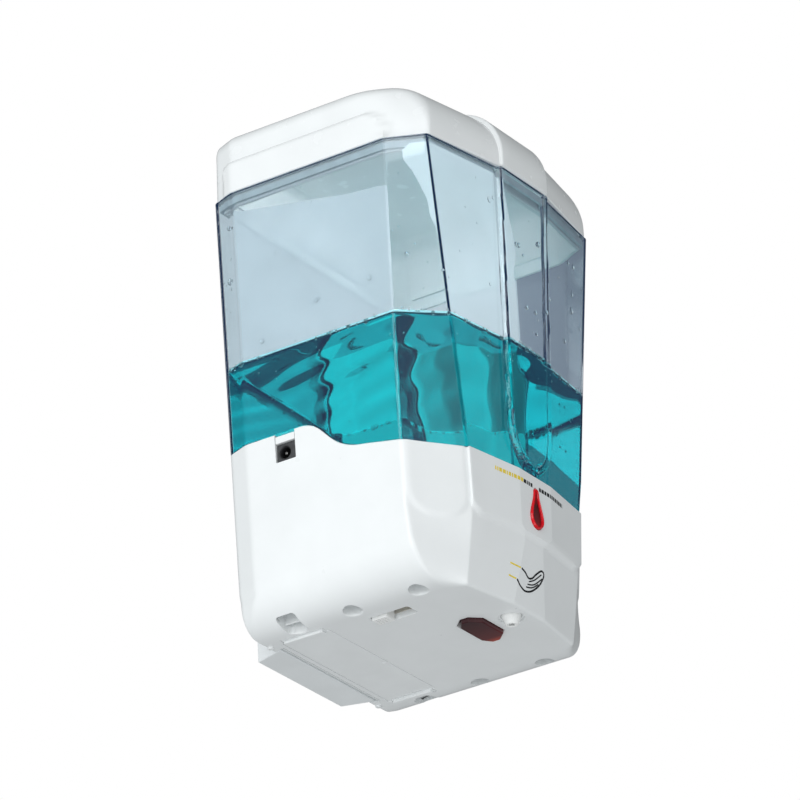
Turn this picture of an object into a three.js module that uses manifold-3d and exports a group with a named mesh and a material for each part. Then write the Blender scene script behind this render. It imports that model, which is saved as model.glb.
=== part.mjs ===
// Wall mounted automatic soap dispenser, as an assembly of separate parts.
// Millimetres, +Z up. The dispenser hangs on a dovetail wall bracket, its front faces -Y and the wall
// is the plane Y = 0. The origin is the centre of the bracket's flat back.
// Every part is drawn in "body" coordinates, where y = 0 is the flat back of the housing and z = 0 its
// underside, and one group at the end moves them all into the frame above.
import * as THREE from 'three';
import { mergeVertices } from 'three/addons/utils/BufferGeometryUtils.js';
import Module from 'manifold-3d';

const wasm = await Module();
wasm.setup();

// ---------------------------------------------------------------- driving dimensions
const GAP = 0.3;                 // clearance between neighbouring solids
const RIM = 220;                 // joint between tank and lid
const LID_HEIGHT = 34.5;         // crown of the lid above that joint
const SEAM_BACK = 89.5;          // joint between housing and tank, behind the wave on the side
const SEAM_FRONT = 66.5;         // the same joint in front of the wave
const BACK_WIDTH = 5;            // how much narrower the flat back is than the sides, each side
const BACK_CORNER = 13;          // depth of the slanted back corner
const FILLET = { height: 21, width: 21 };     // round between the side and the underside
const TONGUE_STEP = 2.4;         // how far the centre panel stands proud of the facets beside it

// Plan of the body at a few heights, half widths and depths in mm: the flat side and how far forward it
// runs, the corner between the front facet and the side, and the crease beside the centre panel with its
// step. Heights between them are interpolated.
const STATIONS = [
  { z: 0, side: 71.2, sideY: 101, cornerX: 45, cornerY: 111.3, creaseX: 13, creaseY: 116, step: 0 },
  { z: 34, side: 72.4, sideY: 98, cornerX: 45, cornerY: 116.2, creaseX: 7, creaseY: 120.9, step: 0 },
  { z: 39, side: 72.5, sideY: 98, cornerX: 46.3, cornerY: 117.8, creaseX: 12.8, creaseY: 122.7, step: 0 },
  { z: 70, side: 73.6, sideY: 97.8, cornerX: 48.4, cornerY: 118.6, creaseX: 13.3, creaseY: 123.6, step: 0 },
  { z: 84, side: 74.1, sideY: 98, cornerX: 50.4, cornerY: 118.6, creaseX: 14, creaseY: 124,
    step: TONGUE_STEP },
  { z: RIM, side: 78.7, sideY: 100.2, cornerX: 69.5, cornerY: 119, creaseX: 20.7, creaseY: 128.1,
    step: TONGUE_STEP },
];

const SHELL = 2.5;               // wall of the housing and lid
const TANK_WALL = 2.6;
const TANK_FLOOR = 3;
const SOAP_LEVEL = 132;

const BRACKET = { wallHalf: 34.2, frontHalf: 39.4, back: 12.5, front: -3.7, height: 84, wall: 2.6 };
const ORIGIN_HEIGHT = BRACKET.height / 2;

const DOOR = { half: 44.2, front: -34.5, back: -8.4, thick: 2 };
const CELL = { radius: 7.2, length: 50.2, pitch: 19.4, y: -21.2, bottom: 6.4 };
const POST = { x: 53.5, rows: [-23, -54, -90], outer: 6.4, inner: 4.6, top: 56 };
const WINDOW = { y: -89, halfX: 13.4, halfY: 6.8, cut: 4.8 };
const NOZZLE = { y: -106, radius: 4.8, bore: 1.8 };
const SLOT = { x: -38, y: -66, halfX: 4.4, halfY: 10.5 };
const JACK = { y: -34.7, z: 80.1, halfY: 5.3, halfZ: 4.45, length: 14, holeY: -33.6, hole: 3.2, pin: 1.05 };
const DROP = { bottom: 40.2, top: 60.6, radius: 5.2 };
const ROTOR = { x: 14, y: -64.5, trackRadius: 17.2, rollerCentre: 9.6, rollerRadius: 4 };
const TUBE_RADIUS = 3;
const GEAR = { module: 1.5, driveTeeth: 38, pinionTeeth: 10, bottom: 48, top: 53 };
const GEAR_CENTRES = (GEAR.module * (GEAR.driveTeeth + GEAR.pinionTeeth)) / 2;
const MOTOR = { x: ROTOR.x - GEAR_CENTRES, y: ROTOR.y, radius: 12 };
const OUTLET = { x: ROTOR.x + ROTOR.trackRadius, y: -98 };

// ---------------------------------------------------------------- materials
const material = (color, roughness, metalness = 0, opacity = 1) =>
  new THREE.MeshStandardMaterial({ color, roughness, metalness, opacity, transparent: opacity < 1 });
const white = material('#f4f5f5', 0.32);
const clear = material('#bfd2da', 0.08, 0, 0.35);
const soapGreen = material('#00a6ae', 0.1, 0, 0.7);
const ruby = material('#b90b10', 0.15);
const darkRed = material('#4a1a1e', 0.18);
const black = material('#17181a', 0.45);
const grey = material('#85898c', 0.5);
const steel = material('#c6c9cc', 0.3, 1);
const boardGreen = material('#1d6b43', 0.5);
const silicone = material('#dfe4e2', 0.55);
const cellBlue = material('#2b4f86', 0.4);
const gearWhite = material('#e9e6da', 0.45);
const brass = material('#c9a552', 0.35, 1);
const seal = material('#8fa3ab', 0.6);

// ---------------------------------------------------------------- solids
// A three.js geometry as a manifold solid, turned face out if its profile ran the other way.
function solid(geometry) {
  const bare = geometry.index ? geometry.toNonIndexed() : geometry.clone();
  const points = new THREE.BufferGeometry().setAttribute('position', bare.getAttribute('position'));
  const merged = mergeVertices(points, 1e-4);
  const build = (tris) => new wasm.Manifold(
    new wasm.Mesh({ numProp: 3, vertProperties: merged.attributes.position.array, triVerts: tris }));
  const tris = new Uint32Array(merged.index.array);
  const made = build(tris);
  return made.volume() >= 0 ? made : build(tris.reverse());
}

function geometryOf(body) {
  const mesh = body.getMesh();
  return new THREE.BufferGeometry()
    .setAttribute('position', new THREE.BufferAttribute(new Float32Array(mesh.vertProperties), 3))
    .setIndex(new THREE.BufferAttribute(new Uint32Array(mesh.triVerts), 1));
}

const sum = (...bodies) => bodies.reduce((a, b) => a.add(b));
const cut = (body, ...tools) => tools.reduce((a, b) => a.subtract(b), body);

function box(x0, x1, y0, y1, z0, z1) {
  const g = new THREE.BoxGeometry(x1 - x0, y1 - y0, z1 - z0);
  return solid(g.translate((x0 + x1) / 2, (y0 + y1) / 2, (z0 + z1) / 2));
}

// A cylinder or cone from z0 to z1 on a vertical axis.
function rod(x, y, z0, z1, radius, segments = 24, topRadius = radius) {
  const g = new THREE.CylinderGeometry(topRadius, radius, z1 - z0, segments);
  return solid(g.rotateX(Math.PI / 2).translate(x, y, (z0 + z1) / 2));
}

// A cylinder from x0 to x1 on an axis along X.
function rodX(x0, x1, y, z, radius, segments = 20) {
  const g = new THREE.CylinderGeometry(radius, radius, x1 - x0, segments);
  return solid(g.rotateZ(Math.PI / 2).translate((x0 + x1) / 2, y, z));
}

// A cylinder from y0 to y1 on an axis along Y.
function rodY(x, y0, y1, z, radius, segments = 20) {
  const g = new THREE.CylinderGeometry(radius, radius, y1 - y0, segments);
  return solid(g.translate(x, (y0 + y1) / 2, z));
}

// A flat shape in x and y, thick from z0 to z1.
function plate(shape, z0, z1, curveSegments = 8) {
  const g = new THREE.ExtrudeGeometry(shape, { depth: z1 - z0, bevelEnabled: false, curveSegments });
  return solid(g.translate(0, 0, z0));
}

// A flat shape in x and z, thick from y0 to y1.
function panelXZ(shape, y0, y1, curveSegments = 8) {
  const g = new THREE.ExtrudeGeometry(shape, { depth: y1 - y0, bevelEnabled: false, curveSegments });
  return solid(g.rotateX(Math.PI / 2).translate(0, y1, 0));
}

// A flat shape in y and z, thick from x0 to x1.
function panelYZ(shape, x0, x1, curveSegments = 8) {
  const g = new THREE.ExtrudeGeometry(shape, { depth: x1 - x0, bevelEnabled: false, curveSegments });
  const turn = new THREE.Matrix4().makeBasis(
    new THREE.Vector3(0, 1, 0), new THREE.Vector3(0, 0, 1), new THREE.Vector3(1, 0, 0));
  return solid(g.applyMatrix4(turn).translate(x0, 0, 0));
}

const polygon = (points) => new THREE.Shape(points.map(([x, y]) => new THREE.Vector2(x, y)));

// A round section swept along a smooth curve.
function hose(points, radius, steps, sides = 10) {
  const path = new THREE.CatmullRomCurve3(points.map((p) => new THREE.Vector3(...p)), false, 'centripetal');
  const section = new THREE.Shape().absarc(0, 0, radius, 0, 2 * Math.PI);
  const g = new THREE.ExtrudeGeometry(section, {
    steps, extrudePath: path, bevelEnabled: false, curveSegments: sides / 2,
  });
  return solid(g);
}

// A solid between rings of equal length, each a closed loop of [x, y] at its own height.
function loft(rings) {
  const count = rings[0].points.length;
  const positions = rings.flatMap((ring) => ring.points.flatMap(([x, y]) => [x, y, ring.z]));
  const index = [];
  for (let r = 0; r + 1 < rings.length; r++) {
    for (let i = 0; i < count; i++) {
      const a = r * count + i;
      const b = r * count + ((i + 1) % count);
      index.push(a, b, b + count, a, b + count, a + count);
    }
  }
  const cap = (ring, start, up) => {
    const contour = ring.points.map(([x, y]) => new THREE.Vector2(x, y));
    for (const [a, b, c] of THREE.ShapeUtils.triangulateShape(contour, [])) {
      index.push(start + a, start + (up ? b : c), start + (up ? c : b));
    }
  };
  cap(rings[0], 0, false);
  cap(rings[rings.length - 1], (rings.length - 1) * count, true);
  const g = new THREE.BufferGeometry();
  g.setAttribute('position', new THREE.Float32BufferAttribute(positions, 3));
  return solid(g.setIndex(index));
}

// ---------------------------------------------------------------- the body's outline
function stationAt(z) {
  const last = STATIONS[STATIONS.length - 1];
  if (z >= last.z) return last;
  const i = Math.max(1, STATIONS.findIndex((s) => s.z > z));
  const [a, b] = [STATIONS[i - 1], STATIONS[i]];
  const t = (z - a.z) / (b.z - a.z);
  return Object.fromEntries(Object.keys(a).map((key) => [key, a[key] + t * (b[key] - a[key])]));
}

// Corners of the plan at height z, right half first, then mirrored, as a closed loop seen from above.
function corners(z) {
  const s = stationAt(z);
  const rise = Math.max(0, 1 - z / FILLET.height);
  const side = s.side - FILLET.width * (1 - Math.sqrt(1 - rise ** 2));
  const back = Math.min(1, 0.12 + 0.06 * z);
  const step = Math.max(s.step, 0.02);
  const half = [
    { x: s.creaseX, y: -s.creaseY, r: 0 },
    { x: s.creaseX + 0.6 * step, y: -s.creaseY + step, r: 0 },
    { x: s.cornerX, y: -s.cornerY, r: 5 },
    { x: side, y: -s.sideY, r: 7 },
    { x: side, y: -BACK_CORNER * back, r: 9 * back },
    { x: side - BACK_WIDTH * back, y: 0, r: 4 * back },
  ];
  return [...half, ...half.map((p) => ({ ...p, x: -p.x })).reverse()];
}

// Moves every edge of a closed loop of corners inwards by a distance.
function inset(loop, distance) {
  const edge = (a, b) => {
    const length = Math.hypot(b.x - a.x, b.y - a.y) || 1;
    return { nx: -(b.y - a.y) / length, ny: (b.x - a.x) / length };
  };
  return loop.map((p, i) => {
    const before = loop[(i + loop.length - 1) % loop.length];
    const after = loop[(i + 1) % loop.length];
    const m = edge(before, p);
    const n = edge(p, after);
    const k = distance / (1 + m.nx * n.nx + m.ny * n.ny);
    return { x: p.x + (m.nx + n.nx) * k, y: p.y + (m.ny + n.ny) * k, r: Math.max(0.6, p.r - distance) };
  });
}

// Replaces each corner that has a radius by an arc of a fixed number of points.
function rounded(loop, arcPoints = 3) {
  return loop.flatMap((p, i) => {
    if (p.r === 0) return [[p.x, p.y]];
    const before = loop[(i + loop.length - 1) % loop.length];
    const after = loop[(i + 1) % loop.length];
    const a = new THREE.Vector2(before.x - p.x, before.y - p.y).normalize();
    const b = new THREE.Vector2(after.x - p.x, after.y - p.y).normalize();
    const reach = p.r / Math.tan(Math.acos(THREE.MathUtils.clamp(a.dot(b), -1, 1)) / 2);
    const curve = new THREE.QuadraticBezierCurve(
      new THREE.Vector2(p.x + a.x * reach, p.y + a.y * reach), new THREE.Vector2(p.x, p.y),
      new THREE.Vector2(p.x + b.x * reach, p.y + b.y * reach));
    return curve.getPoints(arcPoints - 1).map((q) => [q.x, q.y]);
  });
}

const FOOT_HEIGHTS = [0, 1, 3, 7, 13, FILLET.height, 34, 39, 70, 84, SEAM_BACK + 4];
const TANK_HEIGHTS = [60, 70, 84, RIM];
const TANK_CAVITY = [60, 70, 84, RIM + 1];

const bodyLoft = (heights, wall) =>
  loft(heights.map((z) => ({ z, points: rounded(wall ? inset(corners(z), wall) : corners(z)) })));

// The joint between housing and tank is the same curve all the way across: high at the back, then a wave
// down to the front.
function seamShape(offset, farZ) {
  const shape = new THREE.Shape();
  shape.moveTo(20, SEAM_BACK + offset);
  shape.lineTo(-43, SEAM_BACK + offset);
  shape.bezierCurveTo(-58, SEAM_BACK + offset, -56, 73 + offset, -78, 70.6 + offset);
  shape.lineTo(-98, SEAM_FRONT + offset);
  shape.lineTo(-140, SEAM_FRONT + offset);
  shape.lineTo(-140, farZ);
  shape.lineTo(20, farZ);
  return shape;
}
const aboveSeam = (offset) => panelYZ(seamShape(offset, RIM + 40), -90, 90, 12);
const belowSeam = (offset) => panelYZ(seamShape(offset, -20), -90, 90, 12);

// ---------------------------------------------------------------- wall bracket
// Half widths of the dovetail at a depth y, with an allowance all round.
function dovetail(grow, y0, y1) {
  const slope = (BRACKET.frontHalf - BRACKET.wallHalf) / (BRACKET.back - BRACKET.front);
  const half = (y) => BRACKET.wallHalf + slope * (BRACKET.back - y) + grow;
  return polygon([[-half(y1), y1], [-half(y0), y0], [half(y0), y0], [half(y1), y1]]);
}

function wallBracket() {
  const { back, front, height, wall } = BRACKET;
  const outer = plate(dovetail(0, front, back), 0, height);
  const tray = plate(dovetail(-wall, front - 5, back - 3), wall, height - wall);
  const [half, middle] = [BRACKET.wallHalf, height / 2];
  const rib = box(-half, half, front + 4, back - 2, middle - 1.2, middle + 1.2);
  const screwHoles = [16, height - 16].map((z) => rodY(0, 0, 30, z, 2.4));
  const headSeats = [16, height - 16].map((z) => rodY(0, back - 3 - 1, back - 1.4, z, 4.4));
  return cut(sum(cut(outer, tray), rib), ...screwHoles, ...headSeats);
}

// ---------------------------------------------------------------- housing and what is set in it
function teardrop(grow) {
  const r = DROP.radius + grow;
  const centre = DROP.bottom + DROP.radius;
  const tip = DROP.top + grow;
  const shape = new THREE.Shape();
  shape.absarc(0, centre, r, Math.PI, 2 * Math.PI);
  shape.bezierCurveTo(r, centre + 0.7 * r, 1.9 + grow, tip - 4, 1.5 + grow, tip - 1.2);
  shape.quadraticCurveTo(0, tip + 0.8, -1.5 - grow, tip - 1.2);
  shape.bezierCurveTo(-1.9 - grow, tip - 4, -r, centre + 0.7 * r, -r, centre);
  return shape;
}

function windowShape(grow) {
  const { halfX, halfY, y } = WINDOW;
  const [x, h, c] = [halfX + grow, halfY + grow, WINDOW.cut + 0.6 * grow];
  return polygon([
    [-x, y - h + c], [-x + c, y - h], [x - c, y - h], [x, y - h + c],
    [x, y + h - c], [x - c, y + h], [-x + c, y + h], [-x, y + h - c]]);
}

function housing() {
  const outer = bodyLoft(FOOT_HEIGHTS, 0);
  const inner = bodyLoft([SHELL, 5, 10, FILLET.height, 70, SEAM_BACK + 4], SHELL);
  const slotFront = BRACKET.front - 0.5;
  const bracketSlot = sum(
    plate(dovetail(0.45, slotFront, 5), -1, BRACKET.height + 0.4),
    box(-BRACKET.frontHalf, BRACKET.frontHalf, -0.5, 5, -1, BRACKET.height + 0.4));
  const reach = BRACKET.frontHalf + 3;
  const slotWall = box(-reach, reach, slotFront - 2.4, -1, 0.5, SEAM_BACK - 0.6);
  const posts = [-1, 1].flatMap((s) => POST.rows.map(
    (y) => rod(s * POST.x, y, 2, POST.top, POST.outer, 18)));
  const inside = sum(slotWall, ...posts).intersect(outer);
  const bores = [-1, 1].flatMap((s) => POST.rows.flatMap((y) => [
    rod(s * POST.x, y, -1, POST.top - 3, POST.inner, 20),
    rod(s * POST.x, y, -1, POST.top + 1, 1.9, 12)]));
  const doorway = box(-DOOR.half, DOOR.half, DOOR.front, DOOR.back, -1, DOOR.thick + 0.3);
  const batteryMouth = box(-DOOR.half + 2.2, DOOR.half - 2.2, DOOR.front + 1.4, DOOR.back - 0.4, -1, 5);
  const fingerSlots = [-1, 1].map((s) => {
    const [a, b] = [s * (DOOR.half - 1), s * (DOOR.half + 3)];
    return box(Math.min(a, b), Math.max(a, b), DOOR.front + 4, DOOR.back - 4, -1, DOOR.thick + 0.3);
  });
  const window = plate(windowShape(GAP), -1, 5);
  const nozzleHole = rod(0, NOZZLE.y, -1, 5, NOZZLE.radius + GAP);
  const switchSlot = box(
    SLOT.x - SLOT.halfX, SLOT.x + SLOT.halfX, SLOT.y - SLOT.halfY, SLOT.y + SLOT.halfY, -1, 5);
  const jackHole = box(-90, -60, JACK.y - JACK.halfY - GAP, JACK.y + JACK.halfY + GAP,
    JACK.z - JACK.halfZ - GAP, SEAM_BACK + 6);
  const dropHole = panelXZ(teardrop(GAP), -140, -110);
  const shell = cut(outer.intersect(belowSeam(0)), inner);
  return cut(sum(shell, inside.intersect(belowSeam(-0.6))), bracketSlot, ...bores, doorway, batteryMouth,
    ...fingerSlots, window, nozzleHole, switchSlot, jackHole, dropHole);
}

function jackInsert() {
  const block = box(-90, -69.5, JACK.y - JACK.halfY, JACK.y + JACK.halfY, JACK.z + JACK.halfZ + GAP, 100);
  const wall = cut(bodyLoft([70, 84, SEAM_BACK + 4], 0), bodyLoft([70, 84, SEAM_BACK + 4], SHELL));
  return block.intersect(wall).intersect(belowSeam(-1.2));
}

function jackBody() {
  const face = -stationAt(JACK.z).side + 0.5;
  const block = box(face, face + JACK.length, JACK.y - JACK.halfY, JACK.y + JACK.halfY,
    JACK.z - JACK.halfZ, JACK.z + JACK.halfZ);
  return cut(block, rodX(face - 1, face + 10, JACK.holeY, JACK.z, JACK.hole));
}

function jackPin() {
  const face = -stationAt(JACK.z).side + 0.5;
  return rodX(face + 1.2, face + 9.7, JACK.holeY, JACK.z, JACK.pin, 12);
}

function batteryDoor() {
  const { half, front, back, thick } = DOOR;
  const panel = box(-half + GAP, half - GAP, front + GAP, back - GAP, 0, thick);
  const lips = [-1, 1].map((s) => {
    const [a, b] = [s * (half - 4), s * (half - 2.8)];
    return box(Math.min(a, b), Math.max(a, b), front + 9.5, back - 9.5, thick - 0.5, 5);
  });
  const grooves = [-1, 1].map((s) => {
    const [a, b] = [s * (half - 1.1), s * (half - 3)];
    return box(Math.min(a, b), Math.max(a, b), front + 2, back - 2, -1, 0.7);
  });
  return cut(sum(panel, ...lips), ...grooves);
}

function sensorWindow() {
  return sum(plate(windowShape(0), -0.9, 3), plate(windowShape(1.2), 2.8, 4.2));
}

function dropLens() {
  const lens = panelXZ(teardrop(0), -123.9, -116.8);
  const flange = panelXZ(teardrop(1.2), -117.4, -116.2);
  return sum(lens, flange);
}

function nozzle() {
  const { y, radius, bore } = NOZZLE;
  const spout = rod(0, y, -3.4, 0, radius - 0.8, 20, radius);
  const shaft = rod(0, y, -0.1, 14, radius, 20);
  const flange = rod(0, y, 2.9, 4.4, radius + 2, 20);
  return cut(sum(spout, shaft, flange),
    rod(0, y, -5, 7, bore, 14), rod(0, y, 6, 20, TUBE_RADIUS + GAP, 14));
}

function nozzleValve() {
  return cut(rod(0, NOZZLE.y, 0.5, 5.6, NOZZLE.bore - GAP, 16), box(-0.25, 0.25, -120, -90, 0, 3));
}

// ---------------------------------------------------------------- tank, soap and lid
function tankFloorPosts() {
  return [-1, 1].flatMap((s) => POST.rows.map((y) => {
    const post = rod(s * POST.x, y, POST.top + GAP, SEAM_BACK + 2, 4, 14);
    return post.intersect(belowSeam(TANK_FLOOR - 0.5));
  }));
}

function tank() {
  const outer = bodyLoft(TANK_HEIGHTS, 0).intersect(aboveSeam(GAP));
  const cavity = bodyLoft(TANK_CAVITY, TANK_WALL).intersect(aboveSeam(TANK_FLOOR));
  const spout = rod(OUTLET.x, OUTLET.y, 57, SEAM_FRONT + 2, 5);
  const screwHoles = [-1, 1].flatMap((s) => POST.rows.map(
    (y) => rod(s * POST.x, y, 50, POST.top + 9, 1.5, 10)));
  const bore = rod(OUTLET.x, OUTLET.y, 50, SEAM_FRONT + 6, TUBE_RADIUS + GAP, 20);
  return cut(sum(cut(outer, cavity), spout, ...tankFloorPosts()), ...screwHoles, bore);
}

// A thin deck inside the housing that the floor of the tank sits on. It ends in front of the bracket slot.
function tankSeat() {
  const sheet = bodyLoft([FILLET.height, 70, SEAM_BACK + 4], SHELL + 3 * GAP)
    .intersect(belowSeam(-GAP)).intersect(aboveSeam(-GAP - 1.2));
  const postHoles = [-1, 1].flatMap((s) => POST.rows.map((y) => rod(s * POST.x, y, 50, 100, 4.6, 18)));
  const reach = BRACKET.frontHalf + 3.4;
  const slotGap = box(-reach, reach, BRACKET.front - 3.3, 5, 50, 100);
  return cut(sheet, ...postHoles, rod(OUTLET.x, OUTLET.y, 50, 100, 5.6, 20), slotGap);
}

function soap() {
  const block = bodyLoft(TANK_CAVITY, TANK_WALL + 3 * GAP).intersect(aboveSeam(TANK_FLOOR + GAP));
  return cut(block, box(-100, 100, -150, 20, SOAP_LEVEL, RIM + 20));
}

// One ring of the lid's outside: it tapers in over the side, front and back by different amounts.
function lidRing(z, side, front, back, wall = 0) {
  const base = inset(corners(RIM), wall);
  const plan = STATIONS[STATIONS.length - 1];
  const scaleX = (plan.side - side) / plan.side;
  const scaleY = (plan.creaseY - front - back) / plan.creaseY;
  return { z, points: rounded(base.map((p) => ({ x: p.x * scaleX, y: p.y * scaleY - back, r: p.r }))) };
}

// Height above the rim, and how far the side, front and back have drawn in by then.
const LID_RINGS = [
  [0, 0, 0, 0], [9, 0, 0.3, 0], [17, 0.2, 2.4, 0], [17.5, 1.1, 2.6, 0], [25.5, 1.6, 8, 0],
  [30, 2.9, 13.5, 0.2], [33, 5.8, 19.8, 1.2], [LID_HEIGHT, 10.8, 29, 4],
];

// The centre panel carries on over the front and the crown of the lid as a low hump.
function lidHump() {
  const [face, radius, proud] = [stationAt(RIM).creaseY + 1.2, 28, 1.5];
  const crown = RIM + LID_HEIGHT + proud;
  const shape = new THREE.Shape();
  shape.moveTo(-face + 4, RIM + GAP);
  shape.lineTo(-face, RIM + GAP + 1);
  shape.absarc(-face + radius, crown - radius, radius, Math.PI, Math.PI / 2, true);
  shape.lineTo(-9, crown);
  shape.lineTo(-4, crown - proud - 1);
  shape.lineTo(-30, crown - proud - 1);
  shape.absarc(-face + radius + 2, crown - radius - 2.5, radius, Math.PI / 2, Math.PI, false);
  return panelYZ(shape, -20.2, 20.2, 5);
}

function lid() {
  const outer = loft(LID_RINGS.map(
    ([h, s, f, b]) => lidRing(RIM + GAP + h * (1 - GAP / LID_HEIGHT), s, f, b)));
  const inner = loft(LID_RINGS.filter((ring, i) => ![1, 2, 5].includes(i)).map(
    ([h, s, f, b]) => lidRing(RIM - 2 + h * 0.985, s, f, b, SHELL)));
  const lip = cut(
    bodyLoft([RIM - 6, RIM + 3], TANK_WALL + 2.2),
    bodyLoft([RIM - 7, RIM + 4], TANK_WALL + 3.8));
  const shelf = cut(bodyLoft([RIM + 1, RIM + 3], 1.5), bodyLoft([RIM, RIM + 4], TANK_WALL + 3.8));
  return sum(cut(sum(outer, lidHump()), inner), lip, shelf);
}

function lidGasket() {
  return cut(bodyLoft([RIM - 4.6, RIM - 1.4], TANK_WALL + 0.5), bodyLoft([RIM - 6, RIM], TANK_WALL + 1.85));
}

// ---------------------------------------------------------------- batteries
const cellX = (i) => (i - 1.5) * CELL.pitch;
const cellsUp = (i) => i % 2 === 0;

function batteryCase() {
  const top = CELL.bottom + CELL.length + 3.4;
  const outer = box(-39.2, 39.2, -33, -8.9, SHELL + GAP, top + 1.8);
  const feet = [-30, -14].map((y) => box(-45, 45, y, y + 4, SHELL + GAP, 5));
  const toe = box(-39.2, 39.2, -36.5, -31, SHELL + GAP, 5);
  const wells = [0, 1, 2, 3].map((i) => box(cellX(i) - 8.4, cellX(i) + 8.4, -31.4, -10.6, 0, top));
  const passage = box(-37.5, 37.5, -31.4, -10.6, 0, CELL.bottom);
  return cut(sum(outer, toe, ...feet), passage, ...wells);
}

function cell(i) {
  const [z0, z1] = [CELL.bottom, CELL.bottom + CELL.length];
  const [low, high] = cellsUp(i) ? [z0, z1 - 1.4] : [z0 + 1.4, z1];
  const can = rod(cellX(i), CELL.y, low, high, CELL.radius, 20);
  const nub = cellsUp(i)
    ? rod(cellX(i), CELL.y, z1 - 2, z1, 2.7, 16)
    : rod(cellX(i), CELL.y, z0, z0 + 2, 2.7, 16);
  return sum(can, nub);
}

// A short coil that presses on the flat end of a cell from above.
function contactSpring(i) {
  const [turns, wire] = [2.2, 0.42];
  const z0 = CELL.bottom + CELL.length + 0.8;
  const points = [];
  for (let k = 0; k <= turns * 10; k++) {
    const angle = (2 * Math.PI * k) / 10;
    const z = z0 + (2 * k) / (turns * 10);
    points.push([cellX(i) + 3 * Math.cos(angle), CELL.y + 3 * Math.sin(angle), z]);
  }
  return hose(points, wire, 22, 6);
}

// A bent strip on the battery door that joins the lower ends of two cells.
function doorContact(i) {
  const [a, b] = [cellX(i), cellX(i + 1)];
  const [low, high, sheet] = [DOOR.thick + GAP, CELL.bottom - GAP - 0.4, 0.4];
  const middle = [[a - 6, low], [a - 1.5, high], [a + 1.5, high], [a + 6, low],
    [b - 6, low], [b - 1.5, high], [b + 1.5, high], [b + 6, low]];
  const upper = middle.map(([x, z]) => [x, z + sheet]).reverse();
  return panelXZ(polygon([...middle, ...upper]), CELL.y - 3.5, CELL.y + 3.5);
}

// ---------------------------------------------------------------- pump and drive
function toothed({ x, y }, teeth, bore, phase) {
  const { module: m, bottom, top } = GEAR;
  const pitchRadius = (m * teeth) / 2;
  const [tip, root] = [pitchRadius + 0.85 * m, pitchRadius - 1.15 * m];
  const pitchAngle = (2 * Math.PI) / teeth;
  const points = [];
  for (let i = 0; i < teeth; i++) {
    const centre = phase + i * pitchAngle;
    for (const [radius, share] of [[root, -0.31], [tip, -0.11], [tip, 0.11], [root, 0.31]]) {
      const a = centre + share * pitchAngle;
      points.push([x + radius * Math.cos(a), y + radius * Math.sin(a)]);
    }
  }
  return cut(plate(polygon(points), bottom, top), rod(x, y, bottom - 1, top + 1, bore, 16));
}

function pumpHousing() {
  const { x, y } = ROTOR;
  const outer = rod(x, y, 26, 44, 24, 30);
  const track = rod(x, y, 28, 45, ROTOR.trackRadius + TUBE_RADIUS + GAP, 30);
  const legs = [[-18, 14], [18, 14], [20, -10]].map(
    ([dx, dy]) => rod(x + dx, y + dy, SHELL + GAP, 27, 3.5, 12));
  const mouths = [-1, 1].map((s) => {
    const middle = x + s * ROTOR.trackRadius;
    return box(middle - TUBE_RADIUS - 0.6, middle + TUBE_RADIUS + 0.6, y - 30, y, 29, 45);
  });
  return cut(sum(outer, ...legs), track, ...mouths, rod(x, y, 20, 30, 2.6, 16));
}

function gearPlate() {
  const { x, y } = ROTOR;
  const shape = new THREE.Shape();
  shape.absarc(x, y, 24, -Math.PI / 2, Math.PI / 2);
  shape.lineTo(MOTOR.x, y + 14);
  shape.absarc(MOTOR.x, y, 14, Math.PI / 2, (3 * Math.PI) / 2);
  return cut(plate(shape, 44.3, 46.3, 14), rod(x, y, 40, 50, 2.6, 16), rod(MOTOR.x, y, 40, 50, 3.3, 16));
}

const rollerPlace = (i) => {
  const a = Math.PI / 2 + (i * 2 * Math.PI) / 3;
  return [ROTOR.x + ROTOR.rollerCentre * Math.cos(a), ROTOR.y + ROTOR.rollerCentre * Math.sin(a)];
};

function rotor() {
  const { x, y } = ROTOR;
  const discs = [[30, 31.8], [40.2, 42]].map(([z0, z1]) => rod(x, y, z0, z1, 12.4, 24));
  const hub = rod(x, y, 31, 41, 4.4, 20);
  const pins = [0, 1, 2].map((i) => rod(...rollerPlace(i), 31, 41, 1.5, 12));
  return cut(sum(...discs, hub, ...pins), rod(x, y, 25, 50, 2.5, 16));
}

function roller(i) {
  const [x, y] = rollerPlace(i);
  return cut(rod(x, y, 32.2, 39.8, ROTOR.rollerRadius, 20), rod(x, y, 30, 42, 1.8, 12));
}

function motor() {
  const { x, y, radius } = MOTOR;
  const can = sum(rod(x, y, 14, 44, radius, 28), rod(x, y, 43.5, 45.6, 3, 16));
  return cut(can, rod(x, y, 40, 50, 1.5, 12));
}

function pumpTube() {
  const { x, y, trackRadius: r } = ROTOR;
  const z = 36;
  const bend = [];
  for (let i = 0; i <= 8; i++) {
    const a = (Math.PI * i) / 8;
    bend.push([x + r * Math.cos(a), y + r * Math.sin(a), z]);
  }
  return hose([
    [OUTLET.x, OUTLET.y, 63], [OUTLET.x, OUTLET.y, 55], [OUTLET.x, OUTLET.y, 46],
    [OUTLET.x, OUTLET.y + 4, 38.5], [OUTLET.x, OUTLET.y + 12, z], [x + r, y - 12, z], ...bend,
    [x - r, y - 12, z], [x - r, y - 26, z],
    [x - r + 0.8, NOZZLE.y + 10, z - 1.5], [-1.2, NOZZLE.y + 3, z - 6], [0, NOZZLE.y, z - 14],
    [0, NOZZLE.y, 15], [0, NOZZLE.y, 8]], TUBE_RADIUS, 48, 8);
}

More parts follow.
